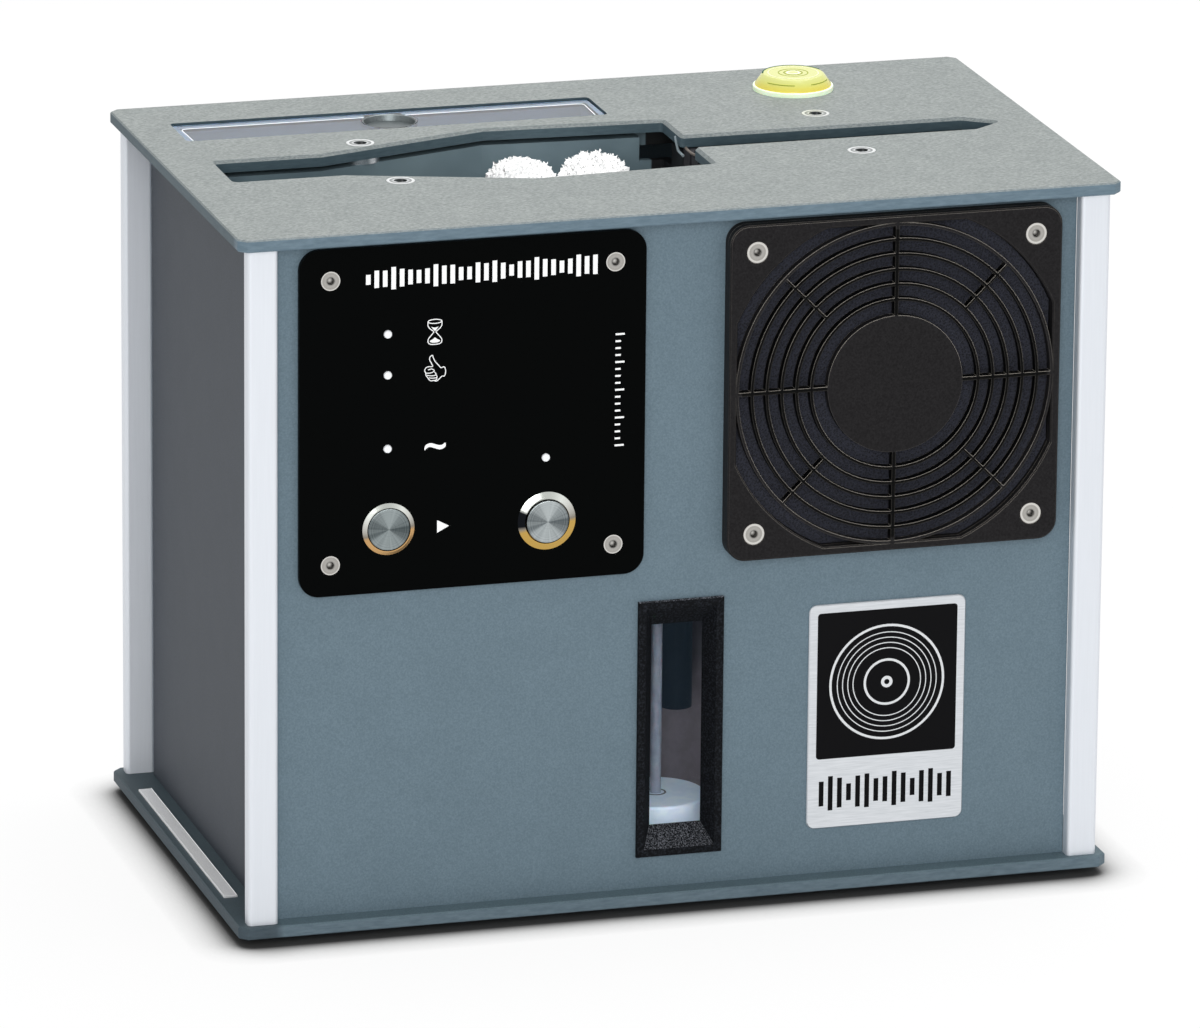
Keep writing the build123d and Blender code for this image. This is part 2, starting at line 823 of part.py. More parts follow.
with BuildPart() as board_standoffs:
    with BuildSketch(front_inside):
        with Locations(*control_bolts):
            Circle(standoff_d / 2)
            Circle(small_shank_d / 2 + run_gap, mode=Mode.SUBTRACT)
    extrude(amount=-standoff_l)
save(board_standoffs, "board_standoffs")

board_plane = front_inside.offset(-standoff_l)
with BuildPart() as control_board:
    with BuildSketch(board_plane):
        with Locations((control_x, control_z)):
            Rectangle(board_size, board_size)
        for x, z, outer_d in buttons:
            with Locations((x, z)):
                Circle(outer_d / 2, mode=Mode.SUBTRACT)
    extrude(amount=-board_t)
    with BuildSketch(board_plane.offset(-board_t)):
        with Locations((control_x, control_z)):
            with GridLocations(chip_pitch, chip_pitch, 2, 1):
                Rectangle(chip_size, chip_size)
        with Locations((control_x, control_z + header_rise)):
            Rectangle(header_w, header_h)
    extrude(amount=-chip_t)
save(control_board, "control_board")

with BuildPart() as indicator_lights:
    with BuildSketch(front.offset(control_t)):
        with Locations(*led_points):
            Circle(led_d / 2)
    extrude(amount=-(control_t + panel_t + standoff_l))
    with BuildSketch(front.offset(control_t)):
        with Locations(*led_points):
            Circle(led_d / 2)
    extrude(amount=led_proud)
    fillet(indicator_lights.edges().group_by(Axis.Y)[0], min(led_round, 0.9 * led_proud))
save(indicator_lights, "indicator_lights")


def button_bezel(x, z, outer_d, rise, cap_d, cap_gap):
    """A fixed metal bezel with a sloping ring, a barrel through the panel and a stem guide."""
    seat = front.offset(control_t)
    seat_r = outer_d / 2
    barrel_r = seat_r - bezel_lip - fit_gap
    pocket_r = cap_d / 2 + cap_gap
    face_r = max(seat_r - bezel_slope, pocket_r + bezel_land)
    pocket_l = rise + cap_t + button_travel + button_room
    with BuildPart() as bezel:
        with BuildSketch(Plane.XZ):
            with BuildLine():
                Polyline((0, 0), (seat_r, 0), (face_r, rise), (0, rise), close=True)
            make_face()
        revolve(axis=Axis.Z)
        with BuildSketch(Plane.XY):
            Circle(barrel_r)
        extrude(amount=-button_depth)
        with BuildSketch(Plane.XY.offset(rise)):
            Circle(pocket_r)
        extrude(amount=-pocket_l, mode=Mode.SUBTRACT)
        with BuildSketch(Plane.XY.offset(rise)):
            Circle(stem_d / 2 + fit_gap)
        extrude(amount=-(rise + button_depth - bezel_floor), mode=Mode.SUBTRACT)
    return bezel.part.moved(seat.location * Location((x, z, 0)))


def button_cap(x, z, rise, cap_d, proud):
    """A round button cap on a stem, which slides into its bezel."""
    seat = front.offset(control_t)
    with BuildPart() as cap:
        with BuildSketch(Plane.XY.offset(rise + proud)):
            Circle(cap_d / 2)
        extrude(amount=-(cap_t + proud))
        fillet(cap.edges().group_by(Axis.Z)[-1], cap_edge_r)
        with BuildSketch(Plane.XY.offset(rise)):
            Circle(stem_d / 2)
        extrude(amount=-(rise + button_depth - bezel_floor - stem_room - button_travel))
    return cap.part.moved(seat.location * Location((x, z, 0)))


with BuildPart() as start_bezel:
    add(button_bezel(start_x, start_z, start_d, start_rise, start_cap_d, start_cap_gap))
save(start_bezel, "start_bezel")
with BuildPart() as start_cap:
    add(button_cap(start_x, start_z, start_rise, start_cap_d, start_proud))
save(start_cap, "start_cap")
with BuildPart() as power_bezel:
    add(button_bezel(power_x, power_z, power_d, power_rise, power_cap_d, power_cap_gap))
save(power_bezel, "power_bezel")
with BuildPart() as power_cap:
    add(button_cap(power_x, power_z, power_rise, power_cap_d, power_proud))
save(power_cap, "power_cap")


# ================= Fan, guard and duct =================

guard_face = guard_frame_t + grille_t

with BuildPart() as guard_frame:
    with BuildSketch(front):
        with Locations((fan_x, fan_z)):
            RectangleRounded(guard_w, guard_w, guard_r)
            add(octagon(opening_flat, opening_r), mode=Mode.SUBTRACT)
        with Locations(*fan_bolts):
            Circle(small_shank_d / 2 + head_gap, mode=Mode.SUBTRACT)
    extrude(amount=guard_frame_t)
    with BuildSketch(front):
        with Locations((fan_x, fan_z)):
            add(octagon(opening_flat + 2 * collar_wall - 2 * fit_gap, opening_r + collar_wall - fit_gap))
            add(octagon(opening_flat, opening_r), mode=Mode.SUBTRACT)
    extrude(amount=-(panel_t - fit_gap))
    with BuildSketch(front_inside.offset(fit_gap)):
        with Locations((fan_x, fan_z)):
            Rectangle(opening_flat, collar_bar)
            Rectangle(collar_bar, opening_flat)
    extrude(amount=collar_bar_t)
save(guard_frame, "guard_frame")

foam_back = front_inside.offset(2 * fit_gap + collar_bar_t)
with BuildPart() as foam_filter:
    with BuildSketch(foam_back):
        with Locations((fan_x, fan_z)):
            add(octagon(opening_flat - 4 * fit_gap, opening_r - 2 * fit_gap))
    extrude(amount=foam_t)
save(foam_filter, "foam_filter")

with BuildPart() as filter_grille:
    with BuildSketch(front.offset(guard_frame_t)):
        with Locations((fan_x, fan_z)):
            RectangleRounded(guard_w, guard_w, guard_r)
            add(octagon(opening_flat, opening_r), mode=Mode.SUBTRACT)
    extrude(amount=grille_t)
    chamfer(filter_grille.edges().group_by(Axis.Y)[0], edge_break)
    with BuildSketch(front.offset(guard_frame_t)):
        with Locations((fan_x, fan_z)):
            for ring in reversed(range(ring_count)):
                ring_r = ring_first_r + ring * ring_step
                Circle(ring_r + ring_t / 2)
                Circle(ring_r - ring_t / 2, mode=Mode.SUBTRACT)
            Circle(grille_hub_d / 2)
            Rectangle(opening_flat + 2 * ring_t, spoke_t)
            Rectangle(spoke_t, opening_flat + 2 * ring_t)
        rib_in = ring_first_r + ring_step
        rib_out = ring_first_r + (ring_count - 1) * ring_step
        with Locations((fan_x, fan_z)):
            with PolarLocations((rib_in + rib_out) / 2, 4, start_angle=45):
                Rectangle(rib_out - rib_in, rib_t)
    extrude(amount=grille_t)
    with Locations(*[front.offset(guard_face) * Location((x, z, 0)) for x, z in fan_bolts]):
        CounterSinkHole(small_shank_d / 2 + head_gap, small_sink / 2, grille_t, sink_angle)
save(filter_grille, "filter_grille")

with BuildPart() as panel_screws:
    with Locations(*[front.offset(control_t) * Location((x, z, 0)) for x, z in control_bolts]):
        add(control_screw)
    with Locations(*[front.offset(guard_face) * Location((x, z, 0)) for x, z in fan_bolts]):
        add(small_screw)
save(panel_screws, "panel_screws")

with BuildPart() as fan_frame:
    with BuildSketch(front_inside):
        with Locations((fan_x, fan_z)):
            RectangleRounded(fan_w, fan_w, fan_corner_r)
            Circle(fan_bore_d / 2, mode=Mode.SUBTRACT)
        with Locations(*fan_bolts):
            Circle(fan_hole_d / 2, mode=Mode.SUBTRACT)
    extrude(amount=-fan_t)
    with BuildSketch(front_inside.offset(-fan_t)):
        with Locations((fan_x, fan_z)):
            Circle(mount_d / 2)
            Rectangle(fan_bore_d + 2 * strut_root, strut_w)
            Rectangle(strut_w, fan_bore_d + 2 * strut_root)
            Circle(hub_pin_d / 2 + run_gap, mode=Mode.SUBTRACT)
    extrude(amount=strut_t)
save(fan_frame, "fan_frame")

fan_axis = Axis((fan_x, -front_back, fan_z), (0, 1, 0))
hub_back = front_inside.offset(-(fan_t - strut_t - hub_gap))
with BuildPart() as fan_impeller:
    with BuildSketch(hub_back):
        with Locations((fan_x, fan_z)):
            Circle(hub_d / 2)
    extrude(amount=blade_depth + 2 * blade_margin)
    with BuildSketch(front_inside.offset(-(fan_t - hub_gap))):
        with Locations((fan_x, fan_z)):
            Circle(hub_pin_d / 2)
    extrude(amount=strut_t + hub_gap)
    blade_mid = hub_back.offset(blade_depth / 2 + blade_margin)
    blade_out = fan_bore_d / 2 - tip_gap
    for turn in range(blade_count):
        spin = turn * 360 / blade_count
        with Locations(blade_mid * Location((fan_x, fan_z, 0)) * Location((0, 0, 0), (0, 0, spin))):
            with Locations(Location((blade_out / 2, 0, 0), (blade_pitch_deg, 0, 0))):
                Box(blade_out, blade_t, blade_depth)
save(fan_impeller, "fan_impeller")

duct_start = front_inside.offset(-fan_t)
duct_stop = Plane.XZ.offset(-record_y + idler_wall)


def duct_body(shrink):
    """The tapering duct as a closed form, shrunk on every side."""
    with BuildPart() as body:
        with BuildSketch(duct_start):
            with Locations((fan_x, fan_z)):
                Rectangle(fan_w - 2 * duct_flange - 2 * shrink, fan_w - 2 * duct_flange - 2 * shrink)
        with BuildSketch(duct_stop):
            with Locations((duct_end_x, fan_z)):
                Rectangle(duct_end_w - 2 * shrink, duct_end_h - 2 * shrink)
        loft()
    return body.part


with BuildPart() as air_duct:
    add(duct_body(0))
    add(duct_body(duct_wall), mode=Mode.SUBTRACT)
save(air_duct, "air_duct")


# ================= Window, badge, strip and inlet =================

with BuildPart() as window_bezel:
    with BuildSketch(front):
        with Locations((window_x, window_z)):
            Rectangle(window_w, window_h)
    extrude(amount=window_rise)
    chamfer(window_bezel.edges().group_by(Axis.Y)[0], fine_edge)
    with BuildSketch(front):
        with Locations((window_x, window_z)):
            Rectangle(window_w - 2 * window_rim - 2 * fit_gap, window_h - 2 * window_rim - 2 * fit_gap)
    extrude(amount=-panel_t)
    with BuildSketch(front_inside):
        with Locations((window_x, window_z)):
            Rectangle(window_inner_w, window_inner_h)
    with BuildSketch(front.offset(window_rise)):
        with Locations((window_x, window_z)):
            Rectangle(window_w - 2 * window_rim, window_h - 2 * window_rim)
    loft(mode=Mode.SUBTRACT)
save(window_bezel, "window_bezel")

with BuildPart() as window_pane:
    with BuildSketch(front_inside):
        with Locations((window_x, window_z)):
            Rectangle(pane_w, pane_h)
    extrude(amount=-pane_t)
save(window_pane, "window_pane")

with BuildPart() as badge_plate:
    with BuildSketch(front):
        with Locations((badge_x, badge_z)):
            RectangleRounded(badge_w, badge_h, badge_r)
    extrude(amount=badge_t)
    chamfer(badge_plate.edges().group_by(Axis.Y)[0], badge_edge)
save(badge_plate, "badge_plate")

with BuildPart() as ledge_strip:
    with BuildSketch(Plane.XY.offset(base_top)):
        with Locations((-(plate_w / 2 - strip_inset - strip_w / 2), strip_y)):
            Rectangle(strip_w, strip_l)
    extrude(amount=strip_t)
    chamfer(ledge_strip.edges().group_by(Axis.Z)[-1], strip_edge)
save(ledge_strip, "ledge_strip")

with BuildPart() as dc_inlet:
    with BuildSketch(rear):
        with Locations((inlet_x, inlet_z)):
            Circle(inlet_flange_d / 2)
    extrude(amount=-inlet_flange_t)
    with BuildSketch(rear):
        with Locations((inlet_x, inlet_z)):
            Circle(inlet_d / 2)
    extrude(amount=inlet_l)
    with BuildSketch(rear.offset(-inlet_flange_t)):
        with Locations((inlet_x, inlet_z)):
            Circle(inlet_bore / 2)
            Circle(inlet_pin_d / 2, mode=Mode.SUBTRACT)
    extrude(amount=inlet_bore_l, mode=Mode.SUBTRACT)
save(dc_inlet, "dc_inlet")


# ================= Water tank and its fittings =================

with BuildPart() as water_tank:
    with BuildSketch(Plane.XY.offset(base_top)):
        with Locations((0, tank_mid_y)):
            Rectangle(tank_w, tank_d)
    extrude(amount=tank_h)
    with BuildSketch(Plane.XY.offset(tank_floor)):
        with Locations((0, tank_mid_y)):
            Rectangle(tank_w - 2 * tank_wall, tank_d - 2 * tank_wall)
    extrude(amount=tank_h - tank_wall, mode=Mode.SUBTRACT)
    with BuildSketch(Plane.XZ.offset(-tank_front)):
        with Locations((window_x, window_z)):
            Rectangle(pane_w - 2 * pane_lap, pane_h - 2 * pane_lap)
    extrude(amount=-tank_wall, mode=Mode.SUBTRACT)
save(water_tank, "water_tank")

with BuildPart() as float_rod:
    with BuildSketch(Plane((rod_x, rod_y, tank_floor))):
        Circle(rod_d / 2)
    extrude(amount=deck_z - tank_floor)
    with BuildSketch(Plane((rod_x, rod_y, float_z - rod_collar_t))):
        Circle(rod_collar_d / 2)
    extrude(amount=rod_collar_t)
save(float_rod, "float_rod")

with BuildPart() as float_disc:
    with BuildSketch(Plane((rod_x, rod_y, float_z))):
        Circle(float_d / 2)
        Circle(rod_d / 2 + fit_gap, mode=Mode.SUBTRACT)
    extrude(amount=float_t)
    outer_edges = float_disc.edges().filter_by(GeomType.CIRCLE).group_by(SortBy.RADIUS)[-1]
    fillet(outer_edges, float_edge)
save(float_disc, "float_disc")

pump_top = tank_floor + pump_h
with BuildPart() as pump:
    with BuildSketch(Plane((pump_x, pump_y, tank_floor))):
        RectangleRounded(pump_size, pump_size, pump_r)
    extrude(amount=pump_h)
    with BuildSketch(Plane((pump_x, pump_y, pump_top))):
        Circle(spigot_d / 2)
    extrude(amount=spigot_h)
save(pump, "pump")

hose_z = deck_top + hose_level
with BuildPart() as pump_hose:
    with BuildLine():
        FilletPolyline(
            (pump_x, pump_y, pump_top + spigot_h),
            (pump_x, pump_y, hose_z),
            (pump_x, lid_y, hose_z),
            (pump_x, lid_y, housing_bottom - spigot_h),
            radius=hose_bend,
        )
    with BuildSketch(Plane((pump_x, pump_y, pump_top + spigot_h))):
        Circle(hose_d / 2)
        Circle(hose_bore / 2, mode=Mode.SUBTRACT)
    sweep()
save(pump_hose, "pump_hose")

with BuildPart() as drain_valve:
    with BuildSketch(Plane((drain_x, record_y, chamber_z))):
        Circle(drain_body_d / 2)
    extrude(amount=-gearbox_h)
    with BuildSketch(Plane((drain_x, record_y, deck_top))):
        Circle(drain_pipe_d / 2)
    extrude(amount=-drain_reach)
    with BuildSketch(Plane((drain_x, record_y, chamber_z))):
        Circle(drain_pipe_d / 2 - drain_wall)
    extrude(amount=-(gearbox_h + drain_reach), mode=Mode.SUBTRACT)
save(drain_valve, "drain_valve")

with BuildPart() as transducer:
    with BuildSketch(Plane((transducer_x, record_y, chamber_z))):
        Circle(transducer_d / 2)
    extrude(amount=-transducer_plate_t)
    with BuildSketch(Plane((transducer_x, record_y, chamber_z - transducer_plate_t))):
        Circle(transducer_tail_d / 2)
    extrude(amount=-transducer_tail_l)
save(transducer, "transducer")


# ================= Lid, filter and spirit level =================

with BuildPart() as filter_lid:
    with BuildSketch(Plane((lid_x, lid_y, plate_top - lid_sink))):
        RectangleRounded(lid_w, lid_d, lid_corner_r)
        Circle(finger_hole_d / 2, mode=Mode.SUBTRACT)
    extrude(amount=-lid_t)
    chamfer(filter_lid.edges().group_by(Axis.Z)[-1], fine_edge)
save(filter_lid, "filter_lid")

cartridge_z = housing_bottom + housing_wall + cartridge_gap + cartridge_d / 2
trough_r = cartridge_d / 2 + cartridge_gap
with BuildPart() as filter_housing:
    with BuildSketch(Plane((lid_x, lid_y, housing_bottom))):
        Rectangle(housing_inner_w + 2 * housing_wall, housing_inner_d + 2 * housing_wall)
    extrude(amount=housing_h)
    with BuildSketch(Plane((lid_x, lid_y, cartridge_z))):
        Rectangle(housing_inner_w, housing_inner_d)
    extrude(amount=roof - cartridge_z, mode=Mode.SUBTRACT)
    with BuildSketch(Plane((lid_x, lid_y, cartridge_z), x_dir=(0, 1, 0), z_dir=(1, 0, 0))):
        Circle(trough_r)
    extrude(amount=housing_inner_w / 2, both=True, mode=Mode.SUBTRACT)
    with BuildSketch(Plane((pump_x, lid_y, housing_bottom))):
        Circle(spigot_d / 2)
    extrude(amount=-spigot_h)
    with BuildSketch(Plane((pump_x, lid_y, housing_bottom - spigot_h))):
        Circle(hose_bore / 2)
    extrude(amount=spigot_h + housing_wall + cartridge_gap, mode=Mode.SUBTRACT)
    spout_back = Plane.XZ.offset(-(lid_y - housing_inner_d / 2))
    spout_out = lid_y - housing_inner_d / 2 - (record_y + slot_wide_half)
    with BuildSketch(spout_back):
        with Locations((spout_x, roof - spout_drop)):
            Circle(spout_d / 2)
    extrude(amount=spout_out)
    with BuildSketch(spout_back):
        with Locations((spout_x, roof - spout_drop)):
            Circle(spout_d / 2 - housing_wall)
    extrude(amount=spout_out, mode=Mode.SUBTRACT)
save(filter_housing, "filter_housing")

with BuildPart() as filter_cartridge:
    with BuildSketch(Plane((lid_x, lid_y, cartridge_z), x_dir=(0, 1, 0), z_dir=(1, 0, 0))):
        Circle(cartridge_d / 2)
    extrude(amount=cartridge_l / 2, both=True)
save(filter_cartridge, "filter_cartridge")

with BuildPart() as spirit_level:
    with BuildSketch(Plane((level_x, level_y, 0), x_dir=(1, 0, 0), z_dir=(0, -1, 0))):
        with BuildLine():
            Polyline(
                (0, plate_top),
                (level_d / 2, plate_top),
                (level_d / 2, plate_top + level_rim_h),
                (level_shoulder_d / 2, plate_top + level_rim_h),
                (level_top_d / 2, plate_top + level_h),
                (0, plate_top + level_h),
                close=True,
            )
        make_face()
    revolve(axis=Axis((level_x, level_y, 0), (0, 0, 1)))
save(spirit_level, "spirit_level")
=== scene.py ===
"""Record cleaning machine: the looks of each piece, its stage and its camera.

Lengths are in metres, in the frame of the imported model: +Z up, the controls face -Y.
"""

import math
from functools import partial

import bmesh
import bpy
from bpy.props import FloatProperty, FloatVectorProperty, PointerProperty
from mathutils import Matrix, Vector


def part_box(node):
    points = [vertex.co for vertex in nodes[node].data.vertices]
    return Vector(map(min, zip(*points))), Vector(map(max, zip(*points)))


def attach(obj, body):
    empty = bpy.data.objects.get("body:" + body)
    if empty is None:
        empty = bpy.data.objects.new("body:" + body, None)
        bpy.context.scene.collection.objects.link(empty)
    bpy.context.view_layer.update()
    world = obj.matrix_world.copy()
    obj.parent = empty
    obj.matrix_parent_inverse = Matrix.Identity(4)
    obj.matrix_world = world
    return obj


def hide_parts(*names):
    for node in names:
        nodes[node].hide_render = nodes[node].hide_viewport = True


bl_info = {
    "name": "Record Cleaning Machine",
    "version": (1, 0, 0),
    "blender": (4, 5, 0),
    "location": "3D View > Sidebar > Record Washer",
    "description": "Dresses the packed record cleaning machine and sets its stage",
    "category": "Object",
}

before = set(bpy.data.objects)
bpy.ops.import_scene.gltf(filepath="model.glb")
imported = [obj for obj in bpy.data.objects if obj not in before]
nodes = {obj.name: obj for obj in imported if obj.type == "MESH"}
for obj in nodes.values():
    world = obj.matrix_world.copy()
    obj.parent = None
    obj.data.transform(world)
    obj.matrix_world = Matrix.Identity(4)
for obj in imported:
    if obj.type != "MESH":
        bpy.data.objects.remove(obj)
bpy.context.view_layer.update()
MM = 0.001
ROLLERS = ("front_left", "front_right", "rear_left", "rear_right")


# ================= Small tools =================

# A Mix node that lays one colour over another, one that tints, and their two colour inputs.
LAY = {"data_type": "RGBA"}
TINT = {"data_type": "RGBA", "blend_type": "MULTIPLY"}
UNDER, OVER = 6, 7


def srgb(text):
    """An sRGB hex colour as linear red, green, blue and alpha. A colour that is linear already stays."""
    if not isinstance(text, str):
        return text
    channels = [int(text[i : i + 2], 16) / 255 for i in (1, 3, 5)]
    return (*(c / 12.92 if c <= 0.04045 else ((c + 0.055) / 1.055) ** 2.4 for c in channels), 1.0)


def add_node(tree, kind, settings=None, links=None):
    """Add one shader node, with its properties, input values and ramp stops set and its inputs linked.

    A link comes from a socket, or from a node, whose first output in use is then meant."""
    node = tree.nodes.new("ShaderNode" + kind)
    for key, value in (settings or {}).items():
        if key == "stops":
            ramp = node.color_ramp.elements
            for element, (position, colour) in zip(ramp, (value[0], value[-1])):
                element.position, element.color = position, srgb(colour)
            for position, colour in value[1:-1]:
                ramp.new(position).color = srgb(colour)
        elif isinstance(key, str) and hasattr(node, key):
            setattr(node, key, value)
        else:
            node.inputs[key].default_value = srgb(value)
    for key, source in (links or {}).items():
        if isinstance(source, bpy.types.Node):
            source = next(output for output in source.outputs if output.enabled)
        tree.links.new(source, node.inputs[key])
    return node


def empty_nodes(owner):
    """Clear a material's or a world's nodes, and give add_node for its tree."""
    owner.use_nodes = True
    owner.node_tree.nodes.clear()
    return partial(add_node, owner.node_tree)


def new_finish(name):
    """A new material, what adds a node to it, and the object-space position."""
    material = bpy.data.materials.new(name)
    add = empty_nodes(material)
    return material, add, add("TexCoord").outputs["Object"]


def close_finish(material, add, settings, links):
    """End a material with its Principled shader."""
    add("OutputMaterial", links={"Surface": add("BsdfPrincipled", settings, links)})
    return material


def grain(add, place, size, detail=2.0, stretch=(1, 1, 1)):
    """Noise whose marks are about the given size in mm, stretched along an axis by a small factor."""
    mapped = add("Mapping", {"Scale": stretch}, {"Vector": place})
    settings = {"Scale": 1 / (size * MM), "Detail": detail, "Roughness": 0.6}
    return add("TexNoise", settings, {"Vector": mapped})


def share_along(add, vector, axis, start, end):
    """How far a vector's part along an axis lies from the start to the end, as 0 to 1."""
    part = add("SeparateXYZ", links={"Vector": vector}).outputs[axis]
    return add("MapRange", {"From Min": start, "From Max": end}, {"Value": part})


def facing_up(add):
    """1 on faces that look up, 0 on the rest."""
    return share_along(add, add("NewGeometry").outputs["Normal"], "Z", 0.5, 0.8)


def from_middle(add, place, x, z):
    """The way from the Y-wise axis of a round front piece to a point, and its direction alone."""
    centred = add("Mapping", {"Location": (-x, 0, -z)}, {"Vector": place})
    flat = add("VectorMath", {"operation": "MULTIPLY", 1: (1, 0, 1)}, {0: centred})
    return flat, add("VectorMath", {"operation": "NORMALIZE"}, {0: flat})


def middle_of(name):
    """The middle of a CAD node's box."""
    return [(low + high) / 2 for low, high in zip(*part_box(name))]


def dress(material, *names):
    """Give a material to CAD nodes, in place of the one that they came with."""
    for name in names:
        slots = nodes[name].data.materials
        slots.clear()
        slots.append(material)


def start_clean():
    """Leave edit mode and deselect everything."""
    if bpy.context.object and bpy.context.object.mode != "OBJECT":
        bpy.ops.object.mode_set(mode="OBJECT")
    bpy.ops.object.select_all(action="DESELECT")


def take_only(piece):
    """Select and activate one piece alone."""
    start_clean()
    piece.select_set(True)
    bpy.context.view_layer.objects.active = piece


def take_new(name):
    """Name the object that an operator has just added."""
    piece = bpy.context.object
    piece.name = name
    piece.data.name = name
    return piece


def pick(piece, kind, test):
    """In edit mode, select only the verts, edges or faces that pass the test."""
    mesh = bmesh.from_edit_mesh(piece.data)
    bpy.ops.mesh.select_mode(type={"edges": "EDGE", "faces": "FACE"}[kind])
    for group in (mesh.verts, mesh.edges, mesh.faces):
        for element in group:
            element.select_set(False)
    for element in getattr(mesh, kind):
        if test(element):
            element.select_set(True)
    mesh.select_flush_mode()
    bmesh.update_edit_mesh(piece.data)


def finish_piece(piece, material, body, smooth=30):
    """Put a piece's place into its mesh, smooth it, and give it its material, body and finish."""
    take_only(piece)
    bpy.ops.object.transform_apply(location=True, rotation=True, scale=True)
    bpy.ops.object.shade_smooth_by_angle(angle=math.radians(smooth))
    piece.data.materials.clear()
    piece.data.materials.append(material)
    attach(piece, body)
    return piece


def join_pieces(pieces, name):
    """Join pieces into one."""
    take_only(pieces[0])
    for piece in pieces:
        piece.select_set(True)
    if len(pieces) > 1:
        bpy.ops.object.join()
    return take_new(name)


def arc(x, y, radius, start=0.0, span=2.0, steps=72, height=None):
    """Points on an arc round a middle, from the start over the span, both in half turns.

    A whole turn leaves out the last point, which would be the first again."""
    points = []
    for step in range(steps if span == 2.0 else steps + 1):
        angle = math.pi * (start + span * step / steps)
        points.append((x + radius * math.cos(angle), y + (height or radius) * math.sin(angle)))
    return points


def smooth_path(points, closed=False, steps=4):
    """More points on a smooth line through the given ones."""
    count = len(points)
    path = []
    for span in range(count if closed else count - 1):
        wanted = range(span - 1, span + 3)
        if closed:
            a, b, c, d = (points[i % count] for i in wanted)
        else:
            a, b, c, d = (points[min(max(i, 0), count - 1)] for i in wanted)
        for step in range(steps):
            t = step / steps
            path.append(tuple(
                0.5 * (2 * q + (r - p) * t + (2 * p - 5 * q + 4 * r - s) * t * t + (3 * q - p - 3 * r + s) * t ** 3)
                for p, q, r, s in zip(a, b, c, d)))
    return path if closed else [*path, points[-1]]


def draw_curve(name, points, closed, settings, turn=0.0):
    """A curve straight from point to point, turned about X and made a mesh."""
    curve = bpy.data.curves.new(name, "CURVE")
    for key, value in settings.items():
        setattr(curve, key, value)
    spline = curve.splines.new("POLY")
    spline.points.add(len(points) - 1)
    for target, point in zip(spline.points, points):
        target.co = (*point, 1)
    spline.use_cyclic_u = closed
    piece = bpy.data.objects.new(name, curve)
    bpy.context.collection.objects.link(piece)
    piece.rotation_euler.x = turn
    take_only(piece)
    bpy.ops.object.convert(target="MESH")
    bpy.ops.object.transform_apply(location=True, rotation=True, scale=True)
    return take_new(name)


def draw_strip(name, points, radius, closed=False, fineness=3):
    """A thin round strip along points in the frame of the model."""
    settings = {"dimensions": "3D", "bevel_depth": radius, "bevel_resolution": fineness, "use_fill_caps": True}
    return draw_curve(name, points, closed, settings)


def turned_piece(name, profile, x, y, steps=64):
    """Turn a profile of (radius, height) points round a vertical axis, as on a lathe."""
    start_clean()
    bpy.ops.mesh.primitive_plane_add(size=1, location=(0, 0, 0))
    piece = take_new(name)
    bpy.ops.object.mode_set(mode="EDIT")
    mesh = bmesh.from_edit_mesh(piece.data)
    bmesh.ops.delete(mesh, geom=list(mesh.verts), context="VERTS")
    verts = [mesh.verts.new((r, 0, z)) for r, z in profile]
    for a, b in zip(verts, verts[1:]):
        mesh.edges.new((a, b))
    bmesh.update_edit_mesh(piece.data)
    bpy.ops.mesh.select_all(action="SELECT")
    bpy.ops.mesh.spin(steps=steps, angle=2 * math.pi, center=(0, 0, 0), axis=(0, 0, 1), dupli=False)
    bpy.ops.mesh.select_all(action="SELECT")
    bpy.ops.mesh.remove_doubles(threshold=0.005 * MM)
    bpy.ops.mesh.normals_make_consistent(inside=False)
    bpy.ops.object.mode_set(mode="OBJECT")
    piece.location = (x, y, 0)
    return piece


def flat_ring(name, place, radius, width, thickness, segments):
    """A ring that lies level, with its thickness as a share of its width."""
    start_clean()
    bpy.ops.mesh.primitive_torus_add(
        major_radius=radius, minor_radius=width / 2, major_segments=segments, minor_segments=8, location=place)
    ring = take_new(name)
    ring.scale.z = thickness
    return ring


# ================= Finishes =================


def grained(name, settings, marks, tones=(), spread=(0.3, 0.7), gloss=(), relief=()):
    """A finish with one kind of mark, given as a size in mm, a detail and a stretch.

    The marks run from a dark to a light tone over the spread, from a low to a high roughness where there is
    a gloss, and stand proud by a depth in mm and a strength where there is a relief."""
    material, add, place = new_finish(name)
    seen = grain(add, place, *marks)
    links = {}
    if tones:
        links["Base Color"] = add("ValToRGB", {"stops": tuple(zip(spread, tones))}, {"Fac": seen})
    if gloss:
        links["Roughness"] = add("MapRange", {"To Min": gloss[0], "To Max": gloss[1]}, {"Value": seen})
    if relief:
        depth, strength = relief
        links["Normal"] = add("Bump", {"Distance": depth * MM, "Strength": strength}, {"Height": seen})
    return close_finish(material, add, settings, links)


